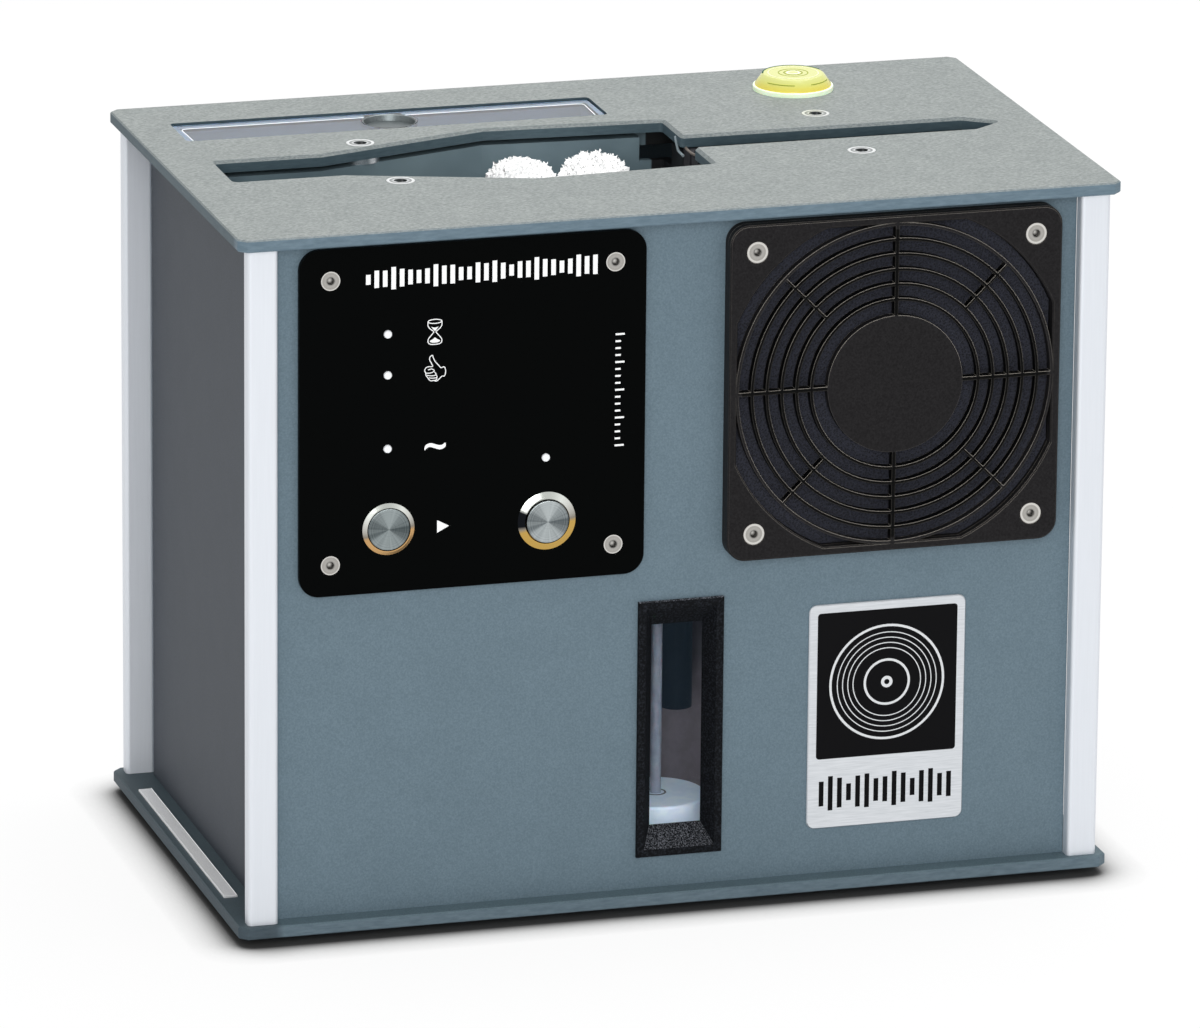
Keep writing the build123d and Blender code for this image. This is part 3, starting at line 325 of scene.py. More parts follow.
def rigid_pvc(name, dark, light, roughness, clouded=0.35, lay=(1, 1, 1), cut=None):
    """Rigid PVC sheet, planed and left unpainted: a fine salt-and-pepper grain and a dull, slightly waxy face.

    A cut gives the two slate tones of the saw-cut edges, which show fine cutter marks, and the stretch that is painted
    darker as shade: its axis, its start and end in mm, its tint, and whether the faces share it. The specks are drawn
    at 0.6 mm, somewhat over their real size, so that they show."""
    material, add, place = new_finish(name)
    specks = grain(add, place, 0.6, 4.0, lay)
    clouds = grain(add, place, 14)
    colour = add("Mix", {**TINT, "Factor": clouded}, {
        UNDER: add("ValToRGB", {"stops": ((0.34, dark), (0.66, light))}, {"Fac": specks}),
        OVER: add("ValToRGB", {"stops": ((0.3, "#dcdfe0"), (0.7, "#ffffff"))}, {"Fac": clouds})})
    if cut:
        strokes = grain(add, place, 0.9, 2.0, (0.2, 0.2, 1))
        edge = add("ValToRGB", {"stops": tuple(zip((0.25, 0.75), cut["tones"]))}, {"Fac": strokes})
        # Painted shade: the stretch along the axis is tinted darker, on the edges and, where faces_too, on the faces as
        # well.
        shaded_stretch = share_along(add, place, cut["axis"], cut["start"] * MM, cut["end"] * MM)
        edge = add("Mix", {**TINT, OVER: cut["tint"]}, {0: shaded_stretch, UNDER: edge})
        if cut["faces_too"]:
            colour = add("Mix", {**TINT, OVER: cut["tint"]}, {0: shaded_stretch, UNDER: colour})
        colour = add("Mix", LAY, {0: facing_up(add), UNDER: edge, OVER: colour})
    gloss = {"To Min": roughness - 0.06, "To Max": roughness + 0.08}
    return close_finish(material, add, {"IOR": 1.53, "Specular IOR Level": 0.3}, {
        "Base Color": colour,
        "Roughness": add("MapRange", gloss, {"Value": specks}),
        "Normal": add("Bump", {"Distance": 0.05 * MM, "Strength": 0.5}, {"Height": specks})})


def welded_pvc(name, dark, light):
    """Rigid PVC, machined and welded into a tank: dull, with faint cutter strokes along its length."""
    return grained(name, {"Roughness": 0.5, "IOR": 1.53}, (0.9, 2.0, (0.08, 1, 1)), (dark, light), relief=(0.03, 0.4))


def tank_plastic():
    """Smoked polypropylene tank: brownish grey, with a painted glow below its water line that fades out above it."""
    material, add, place = new_finish("smoked_polypropylene")
    haze = grain(add, place, 9, 3.0)
    # Painted light: the emission glows below the water line and fades out above it.
    level = share_along(add, place, "Z", 40 * MM, 60 * MM)
    return close_finish(material, add, {"Roughness": 0.5, "IOR": 1.49, "Emission Strength": 0.16}, {
        "Base Color": add("ValToRGB", {"stops": ((0.3, "#6e686c"), (0.7, "#858086"))}, {"Fac": haze}),
        "Emission Color": add("ValToRGB", {"stops": ((0, "#8a868b"), (1, "#242d34"))}, {"Fac": level}),
        "Normal": add("Bump", {"Distance": 0.05 * MM, "Strength": 0.4}, {"Height": haze})})


def chamber_pvc():
    """Rigid PVC, machined and welded into a bath: smooth dull teal, with the end past 25.9 mm along X painted black as
    shade.
    """
    material, add, place = new_finish("chamber_pvc")
    wash = grain(add, place, 30)
    strokes = grain(add, place, 0.9, 2.0, (0.08, 1, 1))
    wall = add("ValToRGB", {"stops": ((0.3, "#5b6d75"), (0.7, "#6d8087"))}, {"Fac": wash})
    # Painted shade: past 25.9 mm along X the wall is painted black for the deep shade at that end.
    painted_black_end = share_along(add, place, "X", 25.3 * MM, 25.9 * MM)
    return close_finish(material, add, {"Roughness": 0.5, "IOR": 1.53, "Specular IOR Level": 0.3}, {
        "Base Color": add("Mix", {**LAY, OVER: "#0b0d0f"}, {0: painted_black_end, UNDER: wall}),
        "Normal": add("Bump", {"Distance": 0.02 * MM, "Strength": 0.3}, {"Height": strokes})})


def satin_anodised():
    """Extruded aluminium, blasted and clear anodised: an even white satin, with a trace of lengthwise draw lines."""
    return grained("satin_anodised_aluminium", {"Metallic": 0.45}, (0.8, 2.0, (1, 1, 0.03)), ("#d8dce2", "#dbdfe5"),
                   gloss=(0.47, 0.53))


def blasted_aluminium():
    """Sandblasted aluminium strip: a grey, even, matt metal face with pin-point glints."""
    return grained("blasted_aluminium", {"Metallic": 0.5, "Roughness": 0.5}, (0.35, 2.0), ("#dedede", "#fafafa"),
                   relief=(0.03, 0.6))


def turned_steel(name, dark, light, roughness):
    """Stainless steel, turned and then polished: a grey mirror, softened by hair-fine turning marks."""
    return grained(name, {"Metallic": 1.0}, (0.3, 3.0), (dark, light), gloss=(roughness - 0.06, roughness + 0.1))


def screw_steel(name, spots, flat, radius, stops):
    """Stainless socket screws, turned, with painted light and shade in rings: a painted bright outer ring, a duller
    face, and a socket painted dark with a painted bright floor.

    Each ring follows the distance from the nearest of the screws' middles, as a share of the head's radius."""
    material, add, place = new_finish(name)
    level = add("VectorMath", {"operation": "MULTIPLY", 1: flat}, {0: place})
    nearest = None
    for spot in spots:
        away = add("VectorMath", {"operation": "DISTANCE", 1: spot}, {0: level})
        if nearest:
            away = add("Math", {"operation": "MINIMUM"}, {0: nearest, 1: away})
        nearest = away
    share = add("Math", {"operation": "DIVIDE", 1: radius}, {0: nearest})
    marks = grain(add, place, 0.35, 3.0)
    return close_finish(material, add, {"Metallic": 1.0, "Roughness": 0.32}, {
        "Base Color": add("Mix", {**TINT, "Factor": 0.3}, {
            # The ring tones are painted highlights and shade, laid over real turning marks.
            UNDER: add("ValToRGB", {"stops": stops}, {"Fac": share}),
            OVER: add("ValToRGB", {"stops": ((0.3, "#b8b8b8"), (0.7, "#ffffff"))}, {"Fac": marks})})})


def faced_steel(name, x, z, dark, light):
    """Stainless steel faced on a lathe: rings round the middle, with painted light in two broad bright bands, up and
    down, and radial streaking.
    """
    material, add, place = new_finish(name)
    flat, unit = from_middle(add, place, x, z)
    radius = add("VectorMath", {"operation": "LENGTH"}, {0: flat})
    turning = {"noise_dimensions": "1D", "Scale": 1 / (0.45 * MM), "Detail": 2.0}
    rings = add("TexNoise", turning, {"W": radius})
    # Painted light: streaking by direction and two bright bands, up and down, stand in for the reflections of a faced
    # disc.
    painted_fans = add("TexNoise", {"Scale": 2.4, "Detail": 4.0, "Roughness": 0.7}, {"Vector": unit})
    height = add("SeparateXYZ", links={"Vector": unit}).outputs["Z"]
    painted_lobes = add("Math", {"operation": "POWER", 1: 2.0}, {0: height})
    painted_streaks_and_rings = add("Mix", {"data_type": "FLOAT", "Factor": 0.22}, {2: painted_fans, 3: rings})
    rings_and_painted_light = add("Mix", {"data_type": "FLOAT", "Factor": 0.3}, {2: painted_streaks_and_rings, 3: painted_lobes})
    return close_finish(material, add, {"Metallic": 1.0, "Roughness": 0.34, "Anisotropic": 0.6}, {
        "Base Color": add("ValToRGB", {"stops": ((0.3, dark), (0.66, light))}, {"Fac": rings_and_painted_light}),
        "Tangent": add("VectorMath", {"operation": "CROSS_PRODUCT", 1: (0, 1, 0)}, {0: unit}),
        "Normal": add("Bump", {"Distance": 0.006 * MM, "Strength": 0.4}, {"Height": rings})})


def polished_nickel(name, x, z, warm_painted_reflection, patch):
    """Nickel-plated brass, polished: a bright ring painted with its reflection, silver above and warm below, from warm
    surroundings.

    The patch is how dark the ring goes at its left: a painted reflection of the black plate."""
    material, add, place = new_finish(name)
    _, unit = from_middle(add, place, x, z)
    tilt = add("VectorMath", {"operation": "DOT_PRODUCT", 1: (-0.17, 0, 0.98)}, {0: unit})
    share = add("MapRange", {"From Min": -1.0, "From Max": 1.0}, {"Value": tilt})
    stops = ((0.0, warm_painted_reflection), (0.38, warm_painted_reflection), (0.45, "#8d8578"), (0.54, "#aeaba3"), (0.72, "#d2d3cd"), (0.86, "#e4e8e2"),
             (1.0, "#b6bab4"))
    ring = add("ValToRGB", {"stops": stops}, {"Fac": share})
    left = add("VectorMath", {"operation": "DOT_PRODUCT", 1: (-0.995, 0, 0.1)}, {0: unit})
    mirrored = add("MapRange", {"From Min": 0.93, "From Max": 0.965, "To Max": patch}, {"Value": left})
    hairlines = grain(add, place, 0.5, 3.0)
    return close_finish(material, add, {"Metallic": 1.0}, {
        "Base Color": add("Mix", {**LAY, OVER: "#16181c"}, {0: mirrored, UNDER: ring}),
        "Roughness": add("MapRange", {"To Min": 0.14, "To Max": 0.28}, {"Value": hairlines})})


def gloss_black():
    """Black acrylic sheet, back-printed: a deep, even black with a clean gloss."""
    return grained("black_acrylic_sheet", {"Base Color": "#040505", "IOR": 1.49, "Specular IOR Level": 0.02},
                   (60, 2.0), gloss=(0.1, 0.16))


def moulded_abs():
    """Black ABS, injection moulded in a spark-eroded tool: a fine matt grain that greys where light grazes it."""
    return grained("moulded_black_abs", {"IOR": 1.5, "Specular IOR Level": 0.16}, (0.7, 3.0),
                   ("#0c0c0d", "#151516"), gloss=(0.44, 0.56), relief=(0.03, 0.5))


def edged_abs(middle, inner, outer):
    """Black ABS, moulded as a fine grille: matt, with a thin painted highlight along the rounded upper edges.

    The thin rings, from the inner to the outer distance from the middle, are a deeper black than the broad faces."""
    material, add, place = new_finish("edged_black_abs")
    texture = grain(add, place, 0.7, 3.0)
    faces = add("ValToRGB", {"stops": ((0.3, "#191819"), (0.7, "#262526"))}, {"Fac": texture})
    flat = add("VectorMath", {"operation": "MULTIPLY", 1: (1, 0, 1)}, {0: place})
    away = add("VectorMath", {"operation": "DISTANCE", 1: middle}, {0: flat})
    past = add("Math", {"operation": "GREATER_THAN", 1: inner}, {0: away})
    within = add("Math", {"operation": "LESS_THAN", 1: outer}, {0: away})
    ringed = add("Math", {"operation": "MULTIPLY"}, {0: past, 1: within})
    ground = add("Mix", {**LAY, OVER: "#060606"}, {0: ringed, UNDER: faces})
    rounded = add("Bevel", {"Radius": 0.45 * MM, "samples": 4})
    true = add("NewGeometry").outputs["Normal"]
    alike = add("VectorMath", {"operation": "DOT_PRODUCT"}, {0: rounded, 1: true})
    turned = add("MapRange", {"From Min": 0.985, "From Max": 0.8}, {"Value": alike})
    lift = add("SeparateXYZ", links={"Vector": rounded}).outputs["Z"]
    upward = add("MapRange", {"From Min": 0.0, "From Max": 0.4, "To Min": 0.12}, {"Value": lift})
    # Painted highlight: the rounded edges that look up are painted a light tan.
    painted_edge_light = add("Math", {"operation": "MULTIPLY"}, {0: turned, 1: upward})
    return close_finish(material, add, {"Roughness": 0.42, "IOR": 1.5, "Specular IOR Level": 0.05}, {
        "Base Color": add("Mix", {**LAY, OVER: "#aaa49b"}, {0: painted_edge_light, UNDER: ground}),
        "Normal": add("Bump", {"Distance": 0.02 * MM, "Strength": 0.3}, {"Height": texture})})


def smooth_abs():
    """Black ABS from a polished tool, seen only through the water window: even and nearly without shine, with a faint
    painted bluish glow in place of the light that reaches it.
    """
    # The emission is a painted glow.
    dim = {"Roughness": 0.45, "IOR": 1.5, "Specular IOR Level": 0.1, "Emission Color": "#3a4a56",
           "Emission Strength": 0.16}
    return grained("smooth_black_abs", dim, (25, 2.0), ("#1a2025", "#283038"))


def coarse_print():
    """Black nylon, laser sintered: sandy grains on a black ground, with painted grey sparkle on the faces that look up,
    where light from above would catch them.
    """
    material, add, place = new_finish("sintered_black_nylon")
    cells = add("TexVoronoi", {"Scale": 1 / (0.8 * MM)}, {"Vector": place})
    fine, sparks = grain(add, place, 0.7), grain(add, place, 0.5)
    ground = add("ValToRGB", {"stops": ((0.45, "#06080b"), (0.75, "#24272d"))}, {"Fac": fine})
    # Painted light: the grey sparkle is laid only on faces that look up.
    glints = add("ValToRGB", {"stops": ((0.47, "#08090b"), (0.66, "#9a9ea8"))}, {"Fac": sparks})
    return close_finish(material, add, {"Roughness": 0.7, "IOR": 1.53, "Specular IOR Level": 0.08}, {
        "Base Color": add("Mix", LAY, {0: facing_up(add), UNDER: ground, OVER: glints}),
        "Normal": add("Bump", {"Distance": 0.12 * MM, "Strength": 0.5}, {"Height": cells})})


def open_foam():
    """Open-cell polyurethane foam: a deep navy web of cells about a millimetre across, with black pores."""
    material, add, place = new_finish("open_cell_foam")
    pores = add("TexVoronoi", {"Scale": 1 / (0.8 * MM)}, {"Vector": place})
    soft = {"Roughness": 0.95, "Specular IOR Level": 0.15, "Sheen Weight": 0.25, "Sheen Roughness": 0.6}
    return close_finish(material, add, soft, {
        "Base Color": add("ValToRGB", {"stops": ((0.1, "#0e0f15"), (0.65, "#292b36"))}, {"Fac": pores}),
        "Normal": add("Bump", {"Distance": 0.25 * MM, "Strength": 0.7}, {"Height": pores})})


def clear_acrylic(name, tint, edge, index):
    """Clear acrylic sheet: see-through with a cool tint, and milky where it was sawn.

    An index near 1 stands for a coated sheet, which mirrors next to nothing."""
    material, add, _ = new_finish(name)
    normal = add("NewGeometry").outputs["Normal"]
    part = add("SeparateXYZ", links={"Vector": normal}).outputs[edge]
    side = add("Math", {"operation": "ABSOLUTE"}, {0: part})
    sawn = add("MapRange", {"From Min": 0.9, "From Max": 0.6}, {"Value": side})
    return close_finish(material, add, {"Base Color": tint, "IOR": index, "Transmission Weight": 1.0}, {
        "Roughness": add("MapRange", {"To Min": 0.03, "To Max": 0.45}, {"Value": sawn})})


def microfibre():
    """Microfibre pile on a cleaning roller: bright white tufts with soft grey hollows, a velvet rim, and a faint
    painted white glow that lifts the hollows.
    """
    material, add, place = new_finish("microfibre_pile")
    tufts, fibres = grain(add, place, 2.2, 3.0), grain(add, place, 0.5, 3.0)
    under = add("Bump", {"Distance": 0.4 * MM, "Strength": 0.6}, {"Height": tufts})
    # The white emission is painted light, a glow that lifts the shade in the hollows.
    soft = {"Roughness": 0.95, "Specular IOR Level": 0.1, "Sheen Weight": 0.5, "Sheen Roughness": 0.5,
            "Emission Color": "#ffffff", "Emission Strength": 0.2}
    return close_finish(material, add, soft, {
        "Base Color": add("ValToRGB", {"stops": ((0.25, "#f3f5f6"), (0.6, "#fdfdfc"))}, {"Fac": tufts}),
        "Normal": add("Bump", {"Distance": 0.2 * MM, "Strength": 0.8}, {"Height": fibres, "Normal": under})})


def milky_plastic(name, dark, light, roughness, glow="#000000", strength=0.0):
    """Natural polypropylene or acetal, moulded: milky, with a soft shine.

    Where a glow is given, the piece carries a painted glow: light in its colour that no lamp gives."""
    material, add, place = new_finish(name)
    cloud, skin = grain(add, place, 5), grain(add, place, 0.6)
    milk = {"Roughness": roughness, "IOR": 1.49, "Subsurface Weight": 0.2, "Subsurface Scale": 3 * MM,
            "Emission Color": glow, "Emission Strength": strength}
    return close_finish(material, add, milk, {
        "Base Color": add("ValToRGB", {"stops": ((0.3, dark), (0.7, light))}, {"Fac": cloud}),
        "Normal": add("Bump", {"Distance": 0.01 * MM, "Strength": 0.5}, {"Height": skin})})


def circuit_board():
    """Glass-epoxy circuit board: green solder mask, dark over the bare board and lighter over the tracks."""
    material, add, place = new_finish("solder_mask_green")
    upright_board = add("Mapping", {"Rotation": (math.pi / 2, 0, 0)}, {"Vector": place})
    tracks = {"Scale": 1 / (5 * MM), "Color1": "#12552c", "Color2": "#0d4623", "Mortar": "#1b7a41", "Mortar Size": 0.06}
    return close_finish(material, add, {"Roughness": 0.35, "IOR": 1.5}, {
        "Base Color": add("TexBrick", tracks, {"Vector": upright_board})})


def nitrile_rubber(name, dark, light, size):
    """Moulded rubber: matt, with a faint dusty bloom and small pits."""
    return grained(name, {"Roughness": 0.8, "IOR": 1.52, "Specular IOR Level": 0.3}, (size, 3.0), (dark, light),
                   relief=(0.03, 0.6))


def zinc_steel():
    """Zinc-plated steel can of a small motor: cool grey, with a faint spangle."""
    return grained("zinc_plated_steel", {"Metallic": 1.0, "Roughness": 0.38}, (4, 3.0), ("#8e9194", "#b6b8ba"))


def screen_ink(name, colour):
    """Screen-printing ink: flat, opaque and barely raised, with pinholes of the mesh in it."""
    tone = srgb(colour)
    pinhole = (*(0.88 * c for c in tone[:3]), 1.0)
    return grained(name, {"Roughness": 0.55, "Specular IOR Level": 0.06}, (0.4, 2.0), (pinhole, tone), (0.25, 0.5))


def lamp_lens():
    """Milky light-emitting-diode lens, lit: an even white dot with a softly moulded skin."""
    lit = {"Base Color": "#e6e8ea", "Roughness": 0.25, "IOR": 1.5, "Emission Color": "#f6f8ff",
           "Emission Strength": 0.08}
    return grained("lit_diode_lens", lit, (0.8, 2.0), relief=(0.01, 0.4))


def level_liquid():
    """Clear acrylic over dyed spirit in a round level: pale lemon, warmer towards the foot of its wall, with a faint
    painted glow.
    """
    material, add, place = new_finish("lemon_level_acrylic")
    rise = share_along(add, place, "Z", 264.2 * MM, 269.0 * MM)
    stops = ((0.0, "#e6cb4c"), (0.3, "#e0d25c"), (0.7, "#d5d56e"), (1.0, "#ced182"))
    wall = add("ValToRGB", {"stops": stops}, {"Fac": rise})
    lit = {"Roughness": 0.15, "IOR": 1.49, "Specular IOR Level": 0.3, "Emission Color": "#eef07a",
           "Emission Strength": 0.04}
    return close_finish(material, add, lit, {
        "Base Color": add("Mix", {**LAY, OVER: "#cfd284"}, {0: facing_up(add), UNDER: wall})})


def label_metal():
    """Aluminium label plate, finely brushed crosswise and lacquered: an even satin silver."""
    return grained("brushed_label_aluminium", {"Metallic": 1.0, "Roughness": 0.42}, (0.5, 2.0, (0.06, 1, 1)),
                   ("#c9cdd1", "#d9dce0"), relief=(0.01, 0.15))


# ================= Sizes and colours that a user may change =================


class PrintLook(bpy.types.PropertyGroup):
    ink: FloatVectorProperty(
        name="Ink", description="Colour of the printed signs", subtype="COLOR", size=4, min=0, max=1,
        default=srgb("#f6f7f7"))
    stroke: FloatProperty(name="Stroke", description="Width of a printed line", unit="LENGTH", default=0.42 * MM)
    rise: FloatProperty(
        name="Rise", description="How far the ink stands off its plate", unit="LENGTH", default=0.06 * MM)


class FleeceLook(bpy.types.PropertyGroup):
    pile: FloatProperty(name="Pile", description="Height of the tufts", unit="LENGTH", default=2.6 * MM)
    tuft: FloatProperty(name="Tuft", description="Width of one tuft", unit="LENGTH", default=2.8 * MM)
    crown: FloatProperty(name="Crown", description="Height of the domed end", unit="LENGTH", default=7.4 * MM)
    drop: FloatProperty(
        name="Drop", description="How far the dome starts below the roller's end", unit="LENGTH", default=3.2 * MM)
    shown: FloatProperty(
        name="Shown", description="Length of each roller that is modelled finely", unit="LENGTH", default=14 * MM)


class StageLook(bpy.types.PropertyGroup):
    floor: FloatVectorProperty(
        name="Floor", description="Colour of the floor", subtype="COLOR", size=4, min=0, max=1,
        default=srgb("#f7f7f7"))
    shadow: FloatProperty(
        name="Shadow", description="Reach of the contact shadow", unit="LENGTH", default=18 * MM)
    lift: FloatProperty(
        name="Lift", description="Share of the floor that is lit evenly", default=0.9, min=0, max=1)
    ambient: FloatProperty(name="Ambient", description="Level of the light from all round", default=0.45)
    key: FloatProperty(name="Key", description="Power of the lamp above, in watts", default=62.0)
    fill: FloatProperty(name="Fill", description="Power of the lamp in front, in watts", default=46.0)


# ================= Case =================

# Middles of the screw heads, in mm, their outer radii, and the tones from a head's middle to its rim, which paint the
# heads' highlights and shade.
TOP_SCREWS = [(x, y, 0) for x in (-87.0, 87.0) for y in (-29.1, 26.7)]
PANEL_SCREWS = [(x, 0, z) for x in (27.0, 132.0) for z in (141.0, 246.0)]
PANEL_SCREWS += [(x, 0, z) for x in (-129.5, -24.5) for z in (139.9, 244.9)]
TOP_SCREW_HEAD, PANEL_SCREW_HEAD = 5.2 * MM, 3.9 * MM
TOP_SCREW_PAINTED_TONES = (
    (0.0, "#6d7273"), (0.44, "#84898a"), (0.5, "#dcdfdf"), (0.62, "#a7abab"), (0.74, "#787d7e"), (0.82, "#f2f4f4"),
    (1.0, "#dfe2e2"))
PANEL_SCREW_PAINTED_TONES = (
    (0.0, "#d6d4cf"), (0.16, "#a19f9b"), (0.31, "#3a3938"), (0.4, "#9c9a96"), (0.5, "#b3b1ac"), (0.76, "#a9a6a1"),
    (0.84, "#e0ded9"), (1.0, "#cfccc7"))


def in_metres(points):
    """Points in mm as points in metres."""
    return [tuple(part * MM for part in point) for point in points]


class WASHER_OT_case(bpy.types.Operator):
    """Dress the sheets, posts, screws and feet of the case"""

    bl_idname = "washer.case"
    bl_label = "Case"

    def execute(self, context):
        # Both cuts paint shade: the top plate's edges darken behind y = -88 mm, in its recesses and slots, and the base
        # plate darkens past x = -151 mm, at its left end, faces too.
        top_cut = {"tones": ("#566a77", "#687c88"), "axis": "Y", "start": -92, "end": -88, "tint": "#b2bab8",
                   "faces_too": False}
        base_cut = {"tones": ("#50616b", "#62737d"), "axis": "X", "start": -148, "end": -151, "tint": "#b4b6b8",
                    "faces_too": True}
        dress(rigid_pvc("planed_grey_pvc", "#6b7271", "#999e9c", 0.55, lay=(0.45, 1, 1), cut=top_cut), "top_plate")
        dress(rigid_pvc("slate_pvc", "#596c77", "#687b86", 0.6, 0.2), "front_panel", "rear_panel")
        dress(rigid_pvc("slate_pvc_base", "#4a5c64", "#5e7179", 0.6, cut=base_cut), "base_plate")
        # The side panels are the front's slate PVC painted darker, as shade.
        dress(rigid_pvc("dark_slate_pvc", "#2f353d", "#40464f", 0.6), "side_panel_left", "side_panel_right")
        dress(satin_anodised(), "corner_posts")
        dress(blasted_aluminium(), "ledge_strip")
        dress(turned_steel("turned_stainless", "#b4b8bc", "#e6eaee", 0.3), "base_screws")
        dress(screw_steel("top_screw_stainless", in_metres(TOP_SCREWS), (1, 1, 0), TOP_SCREW_HEAD, TOP_SCREW_PAINTED_TONES),
              "top_screws")
        dress(screw_steel("panel_screw_stainless", in_metres(PANEL_SCREWS), (1, 0, 1), PANEL_SCREW_HEAD,
                          PANEL_SCREW_PAINTED_TONES), "panel_screws")
        dress(nitrile_rubber("black_rubber", "#141414", "#232323", 2), "rubber_feet", "drive_wheel", "idler_wheel")

        low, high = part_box("ledge_strip")
        clear_end = 0.3 * MM
        edge_x, edge_z = high.x - 0.2 * MM, high.z - 0.05 * MM
        line = [(edge_x, low.y + clear_end, edge_z), (edge_x, high.y - clear_end, edge_z)]
        polished = turned_steel("polished_strip_edge", "#f4f5f6", "#ffffff", 0.2)
        finish_piece(draw_strip("ledge_strip_edge", line, 0.18 * MM), polished, "case")
        return {"FINISHED"}


class WASHER_OT_inside(bpy.types.Operator):
    """Dress what stands inside: chamber, tank, drive, pump and board"""

    bl_idname = "washer.inside"
    bl_label = "Inside"

    def execute(self, context):
        dress(chamber_pvc(), "wash_chamber")
        dress(welded_pvc("welded_dark_pvc", "#4a6068", "#5d747c"), "deck_plate")
        dress(welded_pvc("welded_grey_pvc", "#5e6378", "#71778c"), "filter_housing")
        dress(tank_plastic(), "water_tank")
        dress(milky_plastic("natural_acetal", "#cfccc2", "#e2e0d8", 0.4), "motor_pinion",
              *(f"roller_spindle_{name}" for name in ROLLERS))
        # The float, its rod and the filter cartridge carry a painted glow, light that no lamp gives.
        dress(milky_plastic("white_polypropylene", "#e2eaf4", "#f4f8fd", 0.35, "#b0c6d4", 0.24),
              "float_disc", "filter_cartridge")
        dress(milky_plastic("grey_acetal", "#8b919a", "#a0a6af", 0.5, "#7f8894", 0.1), "float_rod")
        dress(turned_steel("drawn_stainless", "#b3b7bb", "#dfe2e5", 0.3), "chamber_pillars", "top_spacers")
        dress(zinc_steel(), "roller_motor", "record_motor", "transducer")
        dress(circuit_board(), "control_board")
        dress(nitrile_rubber("grey_silicone", "#4b443d", "#6a6058", 3), "pump_hose")
        dress(nitrile_rubber("black_wiper_rubber", "#17171a", "#25252a", 2), "wiper_blades")
        dress(moulded_abs(), "fan_frame", "fan_impeller", "dc_inlet", "air_duct", "pump", "board_standoffs",
              "corner_blocks")
        dress(smooth_abs(), "drain_valve")
        dress(open_foam(), "foam_filter")
        x, _, z = middle_of("filter_grille")
        inner_ring, outer_ring = 25.6 * MM, 57.6 * MM
        dress(edged_abs((x, 0, z), inner_ring, outer_ring), "guard_frame", "filter_grille")

        # A grey ring of painted shade round the rod's hole in the float.
        x, y, _ = middle_of("float_rod")
        disc_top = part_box("float_disc")[1].z
        bore_shade = flat_ring("float_eyelet", (x, y, disc_top), 3.6 * MM, 0.8 * MM, thickness=0.5, segments=48)
        finish_piece(bore_shade, milky_plastic("grey_eyelet_nylon", "#5a6068", "#6e747c", 0.4), "float")
        return {"FINISHED"}


# ================= Window, lid and controls =================


class WASHER_OT_window(bpy.types.Operator):
    """Dress the water window, the lid and the pane, and draw the lid's bright and frosted edges"""

    bl_idname = "washer.window"
    bl_label = "Window and lid"

    def execute(self, context):
        dress(coarse_print(), "window_bezel")
        dress(clear_acrylic("coated_acrylic_pane", "#eef2f8", "Y", 1.03), "window_pane")
        dress(clear_acrylic("clear_acrylic_lid", "#b0c6da", "Z", 1.35), "filter_lid")
        low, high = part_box("filter_lid")
        hole_x, hole_y, _ = middle_of("filter_lid")
        hole_r = 10.25 * MM

        # The bright line is a painted highlight; it runs round the sides and the back of the lid, broken by the finger
        # hole.
        bright = milky_plastic("polished_acrylic_edge", "#f2f4f8", "#fdfdff", 0.2, "#ffffff", 0.1)
        top = high.z - 0.15 * MM
        back, front = high.y - 6.2 * MM, high.y - 23.5 * MM
        left, right = low.x + 2.4 * MM, high.x - 3.4 * MM
        corner, corner_x, corner_y = 2 * MM, 0.5 * MM, 0.6 * MM
        lean = 0.4 * MM
        gap = math.sqrt(hole_r ** 2 - (back - hole_y) ** 2) + 0.4 * MM
        lines = []
        for side, inward in ((left, 1), (right, -1)):
            points = [(side + inward * lean, front, top), (side, back - corner, top),
                      (side + inward * corner_x, back - corner_y, top), (side + inward * corner, back, top),
                      (hole_x - inward * gap, back, top)]
            lines.append(draw_strip("line", points[::inward], 0.27 * MM))
        finish_piece(join_pieces(lines, "lid_edge_line"), bright, "lid")

        # The frosted band lies between that line and the rim, and is nearly flat.
        frosted = milky_plastic("frosted_acrylic_edge", "#a9adb9", "#bcc0cc", 0.4)
        under = top - 0.1 * MM
        outer_left, outer_right, outer_back = low.x + 1.3 * MM, high.x - 1.3 * MM, high.y - 1.5 * MM
        inner_back, clear_of_hole = high.y - 4.0 * MM, 7.2 * MM
        paths = (
            [(outer_left, front), (outer_left, outer_back), (outer_right, outer_back), (outer_right, front)],
            [(outer_left, inner_back), (hole_x - clear_of_hole, inner_back)],
            [(hole_x + clear_of_hole, inner_back), (outer_right, inner_back)])
        bands = [draw_strip("band", [(*point, under) for point in path], 1.15 * MM) for path in paths]
        band = join_pieces(bands, "lid_edge_band")
        flatness = 0.08
        for vertex in band.data.vertices:
            vertex.co.z = under + flatness * (vertex.co.z - under)
        finish_piece(band, frosted, "lid")

        floor, rim = low.z + 0.3 * MM, hole_r - 0.1 * MM
        cup = turned_piece("lid_finger_cup", [
            (0, floor), (8.9 * MM, floor), (9.5 * MM, high.z - 0.2 * MM), (9.8 * MM, high.z), (rim, high.z),
            (rim, low.z), (0, low.z)], hole_x, hole_y)
        finish_piece(cup, turned_steel("brushed_cup_steel", "#565c5e", "#7d8485", 0.4), "lid")
        return {"FINISHED"}


